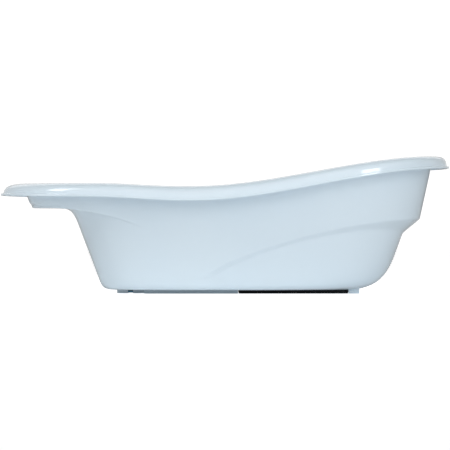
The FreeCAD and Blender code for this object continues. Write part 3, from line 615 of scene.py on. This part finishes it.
def make_rails():
    """The hollow skirts under the floor, their toes at the head end and the tongues for the glides."""
    pieces = []
    for side in (-1, 1):
        y = side * RAIL_Y
        near, far = y - RAIL_WIDTH / 2, y + RAIL_WIDTH / 2
        top = BASE + RAIL_BITE
        low, high = (RAIL_START, near, 0), (GLIDE_START - GLIDE_GAP, far, top)
        skirt = rounded_box("rail_skirt", low, high, RAIL_EDGE, edges_at(0))
        edit(skirt)
        select_where(skirt, is_low, "faces")
        bpy.ops.mesh.inset(thickness=(RAIL_WALL - RAIL_EDGE) * MM)
        hollow = (BASE + RAIL_BITE / 2) * MM
        bpy.ops.mesh.extrude_region_move(TRANSFORM_OT_translate={"value": (0, 0, hollow)})
        done()
        low = (GLIDE_END + GLIDE_GAP, near, 0)
        toe = rounded_box("rail_toe", low, (low[0] + RAIL_TOE, far, top), RAIL_EDGE, edges_at(0))
        edit(toe)
        select_where(toe, lambda vertex: vertex.co.x > (low[0] + 1) * MM and vertex.co.z > BASE * MM)
        bpy.ops.transform.translate(value=(0, 0, TOE_LIFT * MM))
        done()
        tongue = rounded_box(
            "glide_tongue",
            (GLIDE_START + 2 * RAIL_WALL, y - TONGUE_WIDTH / 2, BASE - TONGUE_DEPTH),
            (GLIDE_END - 2 * RAIL_WALL, y + TONGUE_WIDTH / 2, top),
            0.5,
            edges_at(BASE - TONGUE_DEPTH),
        )
        pieces += [skirt, toe, tongue]
    return pieces


def make_drain_ring():
    """The ring that stands on the ground under the drain, in four arcs with notches between them."""
    clear_selection()
    place = (DRAIN_X * MM, 0, 0)
    bpy.ops.mesh.primitive_circle_add(vertices=64, radius=RING_INNER * MM, location=place)
    ring = bpy.context.object
    ring.name = "drain_ring"
    settle(ring)
    edit(ring)
    draw_circle_in(RING_INNER, RING_OUTER)

    def in_notch(face):
        place = face.calc_center_median()
        return min(abs(place.x / MM - DRAIN_X), abs(place.y / MM)) < RING_NOTCH / 2

    select_where(ring, in_notch, "faces")
    bpy.ops.mesh.delete(type="FACE")
    bpy.ops.mesh.select_all(action="SELECT")
    bpy.ops.mesh.extrude_region_move(TRANSFORM_OT_translate={"value": (0, 0, (BASE + 0.5) * MM)})
    bpy.ops.mesh.select_all(action="SELECT")
    bpy.ops.mesh.normals_make_consistent(inside=False)
    done()
    return ring


def make_ledge_ribs():
    """Five low round-topped ribs on the soap ledge."""
    start = -(ledge_edge() - LEDGE_DEPTH + RIB_INSET + RIB_LENGTH)
    ribs = []
    for number in range(-2, 3):
        y = number * RIB_SPACING
        low = (start, y - RIB_WIDTH / 2, LEDGE_HEIGHT + WALL / 2)
        high = (start + RIB_LENGTH, y + RIB_WIDTH / 2, LEDGE_HEIGHT + WALL + RIB_RISE)
        ribs.append(rounded_box("ledge_rib", low, high, 1.2, edges_at(high[2])))
    return ribs


def make_tub():
    tub = join("tub", [make_tub_skin()])
    make_floor(tub)
    tub = join("tub", [tub, make_drain_ring()] + make_rails() + make_ledge_ribs())
    smooth(tub, 40)
    finish_piece(tub, "tub", "tub_shell", "tub_plastic")
    return tub


# ---------------------------------------------------------------------------------------------
# Plug and its pull ring
# ---------------------------------------------------------------------------------------------
SEAT_Z = FLOOR - DRAIN_SEAT_DEPTH
PLUG_TOP = SEAT_Z + 3.0
HINGE_Z = PLUG_TOP + 2.8
HINGE_BAR, PULL_RADIUS, PULL_SECTION = 1.5, 13.0, 2.0
LUG_LENGTH, LUG_WIDTH, LUG_Y, SNAP_SLOT = 7.0, 3.5, 7.0, 2.2
LUG_EDGE, LUG_ROOT, BAR_ROOM = 0.5, 0.5, 0.1  # rounding, sunk into the plug, and room round the bar
PLUG_PROFILE = [  # radius and height, from under the flange round the outside and up the hollow
    (13.4, SEAT_Z),
    (14.0, SEAT_Z - 0.6),
    (14.0, SEAT_Z - 8.1),
    (14.5, SEAT_Z - 8.6),
    (17.5, SEAT_Z - 8.6),
    (18.0, SEAT_Z - 8.1),
    (18.0, SEAT_Z - 4.8),
    (16.4, SEAT_Z - 4.8),
    (16.4, SEAT_Z - 0.8),
    (18.0, SEAT_Z - 0.8),
    (18.0, SEAT_Z),
    (23.2, SEAT_Z),
    (23.7, SEAT_Z + 0.5),
    (23.7, PLUG_TOP - 1.0),
    (23.4, PLUG_TOP - 0.3),
    (22.7, PLUG_TOP),
    (19.4, PLUG_TOP),
    (18.9, PLUG_TOP - 0.4),
    (18.1, PLUG_TOP - 0.4),
    (17.6, PLUG_TOP),
]


def make_lathed(name, profile, count=96):
    """A disc drawn up an upright axis from ring to ring of a profile, closed at both ends."""
    clear_selection()
    radius, height = profile[0]
    place = (DRAIN_X * MM, 0, height * MM)
    bpy.ops.mesh.primitive_circle_add(
        vertices=count, radius=radius * MM, location=place, fill_type="NGON"
    )
    piece = bpy.context.object
    piece.name = name
    settle(piece)
    edit(piece)
    bpy.ops.mesh.select_all(action="SELECT")
    for (last, low), (new, high) in zip(profile, profile[1:]):
        draw_circle_in(last, new, high - low)
    bpy.ops.mesh.select_all(action="SELECT")
    bpy.ops.mesh.normals_make_consistent(inside=False)
    done()
    return piece


def cut_away(piece, tool):
    """Takes one closed piece out of another."""
    cutter = piece.modifiers.new("cut", "BOOLEAN")
    cutter.operation, cutter.solver, cutter.object = "DIFFERENCE", "EXACT", tool
    apply_modifiers(piece)
    bpy.data.objects.remove(tool)


def add_bar(radius, length, height):
    """A round bar across the drain's axis, along Y."""
    clear_selection()
    bpy.ops.mesh.primitive_cylinder_add(
        vertices=32,
        radius=radius * MM,
        depth=length * MM,
        location=(DRAIN_X * MM, 0, height * MM),
        rotation=(math.pi / 2, 0, 0),
    )
    bar = bpy.context.object
    settle(bar)
    return bar


def make_lug(side):
    """An upright lug with a hole for the ring's bar, open at its top so the bar snaps in."""
    y, top = side * LUG_Y, HINGE_Z + HINGE_BAR + BAR_ROOM
    low = (DRAIN_X - LUG_LENGTH / 2, y - LUG_WIDTH / 2, PLUG_TOP - LUG_ROOT)
    high = (DRAIN_X + LUG_LENGTH / 2, y + LUG_WIDTH / 2, top)
    lug = rounded_box("lug", low, high, LUG_EDGE, lambda edge: not edges_at(low[2])(edge))
    cut_away(lug, add_bar(HINGE_BAR + BAR_ROOM, 30, HINGE_Z))
    slot_low = (DRAIN_X - SNAP_SLOT / 2, y - LUG_WIDTH, HINGE_Z)
    slot_high = (DRAIN_X + SNAP_SLOT / 2, y + LUG_WIDTH, top + 3)
    cut_away(lug, rounded_box("slot", slot_low, slot_high, 0.1, edges_at(HINGE_Z)))
    return lug


def make_plug():
    plug = join("plug", [make_lathed("plug", PLUG_PROFILE), make_lug(-1), make_lug(1)])
    smooth(plug, 35)
    finish_piece(plug, "plug", "drain_plug", "plug_plastic")
    return plug


def make_pull_ring():
    """A half ring and its straight bar, with a round knuckle at each end of the bar."""
    clear_selection()
    bpy.ops.mesh.primitive_torus_add(
        major_segments=64,
        minor_segments=20,
        major_radius=PULL_RADIUS * MM,
        minor_radius=PULL_SECTION * MM,
        location=(DRAIN_X * MM, 0, HINGE_Z * MM),
    )
    bow = bpy.context.object
    settle(bow)
    edit(bow)
    bpy.ops.mesh.select_all(action="SELECT")
    bpy.ops.mesh.bisect(
        plane_co=(DRAIN_X * MM, 0, HINGE_Z * MM), plane_no=(-1, 0, 0), clear_outer=True, use_fill=True
    )
    done()
    pieces = [bow, add_bar(HINGE_BAR, 2 * PULL_RADIUS, HINGE_Z)]
    for side in (-1, 1):
        clear_selection()
        bpy.ops.mesh.primitive_uv_sphere_add(
            segments=24,
            ring_count=16,
            radius=PULL_SECTION * MM,
            location=(DRAIN_X * MM, side * PULL_RADIUS * MM, HINGE_Z * MM),
        )
        settle(bpy.context.object)
        pieces.append(bpy.context.object)
    for tool in pieces[1:]:
        merge = pieces[0].modifiers.new("merge", "BOOLEAN")
        merge.operation, merge.solver, merge.object = "UNION", "EXACT", tool
        apply_modifiers(pieces[0])
        bpy.data.objects.remove(tool)
    ring = join("pull_ring", pieces[:1])
    smooth(ring, 40)
    finish_piece(ring, "pull_ring", "plug_pull_ring", "plug_plastic")
    return ring


# ---------------------------------------------------------------------------------------------
# Rubber glides
# ---------------------------------------------------------------------------------------------
TREAD_PITCH, TREAD_DEPTH, GLIDE_EDGE = 5.0, 0.8, 1.5
TONGUE_ROOM = 0.1  # between the tongue and its slot, on each side


def make_glide(name, side):
    """A rubber strip with a rounded underside, a slot for its tongue and a tread under it."""
    y = side * RAIL_Y
    low, high = (GLIDE_START, y - GLIDE_WIDTH / 2, 0), (GLIDE_END, y + GLIDE_WIDTH / 2, BASE)
    glide = rounded_box(name, low, high, GLIDE_EDGE, edges_at(0))
    edit(glide)
    count = int((GLIDE_END - GLIDE_START) / TREAD_PITCH)
    for number in range(1, 2 * count):
        x = GLIDE_START + number * TREAD_PITCH / 2
        bpy.ops.mesh.select_all(action="SELECT")
        bpy.ops.mesh.bisect(plane_co=(x * MM, 0, 0), plane_no=(1, 0, 0))

    def in_groove(face):
        along = (face.calc_center_median().x / MM - GLIDE_START) / (TREAD_PITCH / 2)
        return is_low(face) and int(along) % 2 == 1

    def on_top(face):
        return face.normal.z > 0.9 and face.calc_center_median().z > 0.9 * BASE * MM

    select_where(glide, in_groove, "faces")
    bpy.ops.mesh.extrude_region_move(TRANSFORM_OT_translate={"value": (0, 0, TREAD_DEPTH * MM)})
    select_where(glide, on_top, "faces")
    bpy.ops.mesh.inset(thickness=((GLIDE_WIDTH - TONGUE_WIDTH) / 2 - TONGUE_ROOM) * MM)
    depth = (TONGUE_DEPTH + TONGUE_ROOM) * MM
    bpy.ops.mesh.extrude_region_move(TRANSFORM_OT_translate={"value": (0, 0, -depth)})
    done()
    smooth(glide, 30)
    finish_piece(glide, "tub", f"base_{name}", "glide_rubber")
    return glide


# ---------------------------------------------------------------------------------------------
# Grip pads and gauge
# ---------------------------------------------------------------------------------------------
PAD_GAP, PAD_THICKNESS, PAD_CORNER = 0.05, 1.4, 22.0
STUD_PITCH, STUD_RADIUS, STUD_MARGIN, STUD_ROOT = 9.0, 2.2, 8.0, 0.2
STUD_PROFILE = ((2.0, 0.4), (1.5, 0.3), (0.7, 0.15))  # radius and rise of each ring over the last
CELL = 8.0  # of the sheet that a pad is cut from
RECESS_MARGIN, RECESS_DEPTH = 3.5, 0.5  # of the gauge window's underside


def make_plate(name, length, width, corner, thickness, edge, cell=None):
    """A round-cornered plate about the origin with its top edge softened, cut into cells to bend."""
    clear_selection()
    bpy.ops.mesh.primitive_plane_add(size=1)
    plate = bpy.context.object
    plate.name = name
    plate.scale = (length * MM, width * MM, 1)
    settle(plate)
    edit(plate)
    bpy.ops.mesh.select_all(action="SELECT")
    bpy.ops.mesh.bevel(offset=corner * MM, segments=10, affect="VERTICES")
    if cell:
        for normal, reach in (((1, 0, 0), length / 2), ((0, 1, 0), width / 2)):
            count = int(2 * reach / cell)
            for number in range(1, count):
                place = (2 * number / count - 1) * reach * MM
                bpy.ops.mesh.select_all(action="SELECT")
                bpy.ops.mesh.bisect(plane_co=[place * n for n in normal], plane_no=normal)
    bpy.ops.mesh.select_all(action="SELECT")
    bpy.ops.mesh.extrude_region_move(TRANSFORM_OT_translate={"value": (0, 0, thickness * MM)})
    bpy.ops.mesh.select_all(action="SELECT")
    bpy.ops.mesh.normals_make_consistent(inside=False)

    def on_rim(item):
        return edges_at(thickness)(item) and item.calc_face_angle(0) > 1

    select_where(plate, on_rim, "edges")
    bpy.ops.mesh.bevel(offset=edge * MM, segments=3, affect="EDGES")
    done()
    return plate


def add_studs(length, width):
    """Rows of low round studs on top of a pad, left out of its corners."""
    clear_selection()
    columns = int((length - 2 * STUD_MARGIN) / STUD_PITCH)
    rows = int((width - 2 * STUD_MARGIN) / STUD_PITCH)
    start = (-columns * STUD_PITCH / 2, -rows * STUD_PITCH / 2)
    place = (start[0] * MM, start[1] * MM, (PAD_THICKNESS - STUD_ROOT) * MM)
    bpy.ops.mesh.primitive_circle_add(
        vertices=12, radius=STUD_RADIUS * MM, location=place, fill_type="NGON"
    )
    studs = bpy.context.object
    settle(studs)
    edit(studs)
    bpy.ops.mesh.select_all(action="SELECT")
    last = STUD_RADIUS
    for radius, rise in STUD_PROFILE:
        draw_circle_in(last, radius, rise)
        last = radius
    bpy.ops.mesh.select_all(action="SELECT")
    bpy.ops.mesh.normals_make_consistent(inside=False)
    done()
    for axis, count in ((0, columns), (1, rows)):
        array = studs.modifiers.new("rows", "ARRAY")
        array.use_relative_offset, array.use_constant_offset = False, True
        offset = [0.0, 0.0, 0.0]
        offset[axis] = STUD_PITCH * MM
        array.constant_offset_displace = offset
        array.count = count + 1
    apply_modifiers(studs)
    straight = (length / 2 - PAD_CORNER, width / 2 - PAD_CORNER)

    def in_corner(vertex):
        past = []
        for value, first, plain in zip(vertex.co, start, straight):
            centre = first + round((value / MM - first) / STUD_PITCH) * STUD_PITCH
            past.append(max(0.0, abs(centre) - plain))
        return math.hypot(*past) > PAD_CORNER - STUD_MARGIN / 2

    edit(studs)
    select_where(studs, in_corner, "verts")
    bpy.ops.mesh.delete(type="VERT")
    done()
    return studs


def make_pad(name, length, width):
    sheet = make_plate(name, length, width, PAD_CORNER, PAD_THICKNESS, 0.5, CELL)
    return join(name, [sheet, add_studs(length, width)])


def lay_on_wall(pad, tub, side, height):
    """Lays a flat pad on the inside of an end wall: its length becomes height, its top faces in."""
    edit(pad)
    mesh = bmesh.from_edit_mesh(pad.data)
    for vertex in mesh.verts:
        start = Vector((0, vertex.co.y, height * MM + vertex.co.x))
        _, hit, normal, _ = tub.ray_cast(start, Vector((side, 0, 0)))
        if normal.x * side > 0:
            normal = -normal
        vertex.co = hit + normal * (vertex.co.z + PAD_GAP * MM)
    bmesh.update_edit_mesh(pad.data)
    bpy.ops.mesh.select_all(action="SELECT")
    bpy.ops.mesh.normals_make_consistent(inside=False)
    done()


def make_grip_pads(tub):
    pads = []
    seat = make_pad("seat_grip", SEAT_PAD_LENGTH, SEAT_PAD_WIDTH)
    seat.location = ((SEAT_PAD_START + SEAT_PAD_LENGTH / 2) * MM, 0, (FLOOR + PAD_GAP) * MM)
    settle(seat)
    pads.append((seat, "seat_grip_pad"))
    for name, node, side, length, width, height in (
        ("back_grip", "back_grip_pad", 1, BACK_PAD_HEIGHT, BACK_PAD_WIDTH, BACK_PAD_BASE),
        ("foot_grip", "foot_grip_pad", -1, FOOT_PAD_HEIGHT, FOOT_PAD_WIDTH, FOOT_PAD_BASE),
    ):
        pad = make_pad(name, length, width)
        lay_on_wall(pad, tub, side, height + length / 2)
        pads.append((pad, node))
    for pad, node in pads:
        smooth(pad, 35)
        finish_piece(pad, "tub", node, "grip_rubber")
    return [pad for pad, _ in pads]


def make_gauge_window():
    """A clear plate with a softened top edge and a recess under it for the strip."""
    window = make_plate("gauge_cover", GAUGE_WIDTH, GAUGE_LENGTH, GAUGE_CORNER, GAUGE_RISE, 0.6)
    edit(window)
    select_where(window, is_low, "faces")
    bpy.ops.mesh.inset(thickness=RECESS_MARGIN * MM)
    bpy.ops.mesh.extrude_region_move(TRANSFORM_OT_translate={"value": (0, 0, RECESS_DEPTH * MM)})
    done()
    window.location = (GAUGE_X * MM, 0, (FLOOR + PAD_GAP) * MM)
    settle(window)
    smooth(window, 35)
    finish_piece(window, "tub", "gauge_window", "gauge_clear")
    return window


def finish_piece(piece, body, node, slot):
    """Rides a piece on its body in place of its CAD node, and gives it the finish of its slot."""
    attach(piece, body)
    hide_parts(node)
    paint_piece(piece, slot)


def paint_piece(piece, slot):
    piece.data.materials.clear()
    piece.data.materials.append(PAINTS[slot])


# ---------------------------------------------------------------------------------------------
# Materials
# ---------------------------------------------------------------------------------------------


def new_group(name, inputs, output, kind):
    """An empty node group with named number or colour inputs and one output."""
    group = bpy.data.node_groups.new(name, "ShaderNodeTree")
    for label, socket, value in inputs:
        item = group.interface.new_socket(name=label, in_out="INPUT", socket_type=socket)
        item.default_value = value
    group.interface.new_socket(name=output, in_out="OUTPUT", socket_type=kind)
    ends = group.nodes.new("NodeGroupInput"), group.nodes.new("NodeGroupOutput")
    return group, ends[0], ends[1]


def add_node(tree, kind, **settings):
    node = tree.nodes.new(kind)
    for name, value in settings.items():
        setattr(node, name, value)
    return node


def make_orange_peel():
    """The faint waviness of a moulded skin, as a height."""
    group, start, end = new_group(
        "orange_peel",
        [("Scale", "NodeSocketFloat", 120.0), ("Fine Share", "NodeSocketFloat", 0.3)],
        "Height",
        "NodeSocketFloat",
    )
    place = add_node(group, "ShaderNodeTexCoord")
    broad = add_node(group, "ShaderNodeTexNoise")
    broad.inputs["Detail"].default_value = 1.0
    fine = add_node(group, "ShaderNodeTexNoise")
    fine.inputs["Detail"].default_value = 3.0
    times = add_node(group, "ShaderNodeMath", operation="MULTIPLY")
    times.inputs[1].default_value = 7.0
    blend = add_node(group, "ShaderNodeMix", data_type="FLOAT")
    link = group.links.new
    link(place.outputs["Object"], broad.inputs["Vector"])
    link(place.outputs["Object"], fine.inputs["Vector"])
    link(start.outputs["Scale"], broad.inputs["Scale"])
    link(start.outputs["Scale"], times.inputs[0])
    link(times.outputs["Value"], fine.inputs["Scale"])
    link(start.outputs["Fine Share"], blend.inputs["Factor"])
    link(broad.outputs["Fac"], blend.inputs["A"])
    link(fine.outputs["Fac"], blend.inputs["B"])
    link(blend.outputs["Result"], end.inputs["Height"])
    return group


def make_tint():
    """Two close colours in broad soft clouds, as pigment spreads in moulded plastic or rubber."""
    group, start, end = new_group(
        "pigment_clouds",
        [
            ("Color A", "NodeSocketColor", (1, 1, 1, 1)),
            ("Color B", "NodeSocketColor", (1, 1, 1, 1)),
            ("Scale", "NodeSocketFloat", 6.0),
        ],
        "Color",
        "NodeSocketColor",
    )
    place = add_node(group, "ShaderNodeTexCoord")
    clouds = add_node(group, "ShaderNodeTexNoise")
    clouds.inputs["Detail"].default_value = 4.0
    clouds.inputs["Roughness"].default_value = 0.45
    spread = add_node(group, "ShaderNodeMapRange", interpolation_type="SMOOTHSTEP")
    spread.inputs["From Min"].default_value = 0.35
    spread.inputs["From Max"].default_value = 0.65
    blend = add_node(group, "ShaderNodeMix", data_type="RGBA")
    link = group.links.new
    link(place.outputs["Object"], clouds.inputs["Vector"])
    link(start.outputs["Scale"], clouds.inputs["Scale"])
    link(clouds.outputs["Fac"], spread.inputs["Value"])
    link(spread.outputs["Result"], blend.inputs["Factor"])
    link(start.outputs["Color A"], blend.inputs["A"])
    link(start.outputs["Color B"], blend.inputs["B"])
    link(blend.outputs["Result"], end.inputs["Color"])
    return group


def make_scuffs():
    """Roughness over a piece: its base, and a rise along fine hairlines from handling."""
    group, start, end = new_group(
        "handling_hairlines",
        [
            ("Scale", "NodeSocketFloat", 30.0),
            ("Base", "NodeSocketFloat", 0.05),
            ("Rise", "NodeSocketFloat", 0.05),
        ],
        "Roughness",
        "NodeSocketFloat",
    )
    place = add_node(group, "ShaderNodeTexCoord")
    stretch = add_node(group, "ShaderNodeMapping")
    stretch.inputs["Scale"].default_value = (0.5, 9.0, 14.0)
    stretch.inputs["Rotation"].default_value = (0.3, 0.2, 0.5)
    lines = add_node(group, "ShaderNodeTexNoise")
    lines.inputs["Detail"].default_value = 5.0
    lines.inputs["Roughness"].default_value = 0.6
    patches = add_node(group, "ShaderNodeTexNoise")
    patches.inputs["Scale"].default_value = 11.0
    sharp = add_node(group, "ShaderNodeMapRange")
    sharp.inputs["From Min"].default_value = 0.56
    sharp.inputs["From Max"].default_value = 0.72
    both = add_node(group, "ShaderNodeMath", operation="MULTIPLY")
    rise = add_node(group, "ShaderNodeMath", operation="MULTIPLY")
    total = add_node(group, "ShaderNodeMath", operation="ADD")
    link = group.links.new
    link(place.outputs["Object"], stretch.inputs["Vector"])
    link(place.outputs["Object"], patches.inputs["Vector"])
    link(stretch.outputs["Vector"], lines.inputs["Vector"])
    link(start.outputs["Scale"], lines.inputs["Scale"])
    link(lines.outputs["Fac"], sharp.inputs["Value"])
    link(sharp.outputs["Result"], both.inputs[0])
    link(patches.outputs["Fac"], both.inputs[1])
    link(both.outputs["Value"], rise.inputs[0])
    link(start.outputs["Rise"], rise.inputs[1])
    link(rise.outputs["Value"], total.inputs[0])
    link(start.outputs["Base"], total.inputs[1])
    link(total.outputs["Value"], end.inputs["Roughness"])
    return group


def place_group(paint, group, **values):
    node = paint.node_tree.nodes.new("ShaderNodeGroup")
    node.node_tree = group
    for name, value in values.items():
        node.inputs[name.replace("_", " ")].default_value = value
    return node


def new_paint(name, colors, clouds, gloss, bump, **settings):
    """A finish with clouded colour, hairlines in its gloss and a moulded or grained skin.

    colors are the two close colours, clouds their scale; gloss is the base roughness, its rise and
    the hairlines' scale; bump is the skin's scale, the share of fine grain and its height in
    millimetres. Other settings go straight onto the shader's sockets.
    """
    paint = bpy.data.materials.new(f"{name}_finish")
    paint.use_nodes = True
    nodes, link = paint.node_tree.nodes, paint.node_tree.links.new
    shader = nodes["Principled BSDF"]
    first, second = [(*color, 1) for color in colors]
    tint = place_group(paint, GROUPS["tint"], Color_A=first, Color_B=second, Scale=clouds)
    lines = place_group(paint, GROUPS["scuffs"], Base=gloss[0], Rise=gloss[1], Scale=gloss[2])
    skin = place_group(paint, GROUPS["peel"], Scale=bump[0], Fine_Share=bump[1])
    relief = nodes.new("ShaderNodeBump")
    relief.inputs["Strength"].default_value = 1.0
    relief.inputs["Distance"].default_value = bump[2] * MM
    link(tint.outputs["Color"], shader.inputs["Base Color"])
    link(lines.outputs["Roughness"], shader.inputs["Roughness"])
    link(skin.outputs["Height"], relief.inputs["Height"])
    link(relief.outputs["Normal"], shader.inputs["Normal"])
    for socket, value in settings.items():
        shader.inputs[socket.replace("_", " ")].default_value = value
    return paint


def make_gauge_film():
    """The strip under the gauge's window: soft bands from cool blue to warm red across the tub."""
    colors, gloss, bump = [(1, 1, 1), (0.9, 0.9, 0.9)], (0.35, 0.1, 60.0), (400.0, 0.5, 0.02)
    paint = new_paint("gauge_film", colors, 60.0, gloss, bump)
    nodes, link = paint.node_tree.nodes, paint.node_tree.links.new
    place = nodes.new("ShaderNodeTexCoord")
    parts = nodes.new("ShaderNodeSeparateXYZ")
    along = nodes.new("ShaderNodeMapRange")
    along.inputs["From Min"].default_value = -GAUGE_LENGTH / 2 * MM
    along.inputs["From Max"].default_value = GAUGE_LENGTH / 2 * MM
    bands = nodes.new("ShaderNodeValToRGB")
    bands.color_ramp.interpolation = "B_SPLINE"
    stops = [
        (0.05, (0.03, 0.13, 0.42)),
        (0.32, (0.05, 0.36, 0.55)),
        (0.50, (0.10, 0.50, 0.22)),
        (0.68, (0.75, 0.55, 0.08)),
        (0.95, (0.62, 0.06, 0.04)),
    ]
    ramp = bands.color_ramp.elements
    while len(ramp) < len(stops):
        ramp.new(0.5)
    for element, (position, color) in zip(ramp, stops):
        element.position, element.color = position, (*color, 1)
    mix_in = nodes.new("ShaderNodeMix")
    mix_in.data_type, mix_in.blend_type = "RGBA", "MULTIPLY"
    mix_in.inputs["Factor"].default_value = 1.0
    shader = nodes["Principled BSDF"]
    clouds = shader.inputs["Base Color"].links[0].from_socket
    link(place.outputs["Object"], parts.inputs["Vector"])
    link(parts.outputs["Y"], along.inputs["Value"])
    link(along.outputs["Result"], bands.inputs["Fac"])
    link(clouds, mix_in.inputs["A"])
    link(bands.outputs["Color"], mix_in.inputs["B"])
    link(mix_in.outputs["Result"], shader.inputs["Base Color"])
    return paint


GROUPS = {"peel": make_orange_peel(), "tint": make_tint(), "scuffs": make_scuffs()}
PAINTS = {
    "tub_plastic": new_paint(
        "tub_plastic",
        [(0.765, 0.885, 0.968), (0.750, 0.872, 0.960)],
        5.0,
        (0.045, 0.10, 22.0),
        (55.0, 0.04, 0.02),
    ),
    "plug_plastic": new_paint(
        "plug_plastic",
        [(0.20, 0.47, 0.66), (0.17, 0.43, 0.62)],
        30.0,
        (0.16, 0.20, 90.0),
        (300.0, 0.3, 0.02),
    ),
    "seal_rubber": new_paint(
        "seal_rubber",
        [(0.045, 0.05, 0.055), (0.03, 0.034, 0.04)],
        80.0,
        (0.45, 0.25, 120.0),
        (700.0, 0.6, 0.05),
    ),
    # near black: the glides' own dark rubber, deepened into painted shade for the shadow in the gap
    # under the tub's floor
    "glide_rubber": new_paint(
        "glide_rubber",
        [(0.004, 0.006, 0.008), (0.007, 0.010, 0.012)],
        40.0,
        (0.42, 0.25, 60.0),
        (500.0, 0.6, 0.05),
        Specular_IOR_Level=0.15,
    ),
    "grip_rubber": new_paint(
        "grip_rubber",
        [(0.40, 0.63, 0.74), (0.36, 0.59, 0.71)],
        12.0,
        (0.48, 0.20, 50.0),
        (600.0, 0.6, 0.04),
        Sheen_Weight=0.15,
    ),
    "gauge_clear": new_paint(
        "gauge_clear",
        [(0.97, 0.985, 0.99), (0.94, 0.97, 0.98)],
        25.0,
        (0.03, 0.08, 80.0),
        (150.0, 0.1, 0.01),
        Transmission_Weight=1.0,
        IOR=1.49,
    ),
    "gauge_film": make_gauge_film(),
}

# ---------------------------------------------------------------------------------------------
# Build
# ---------------------------------------------------------------------------------------------
make_camera()
light_studio()
make_stage()
tub = make_tub()
make_plug()
make_pull_ring()
make_glide("glide_left", -1)
make_glide("glide_right", 1)
make_grip_pads(tub)
make_gauge_window()
for node, slot in (("plug_seal", "seal_rubber"), ("gauge_strip", "gauge_film")):
    paint_piece(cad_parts[node], slot)
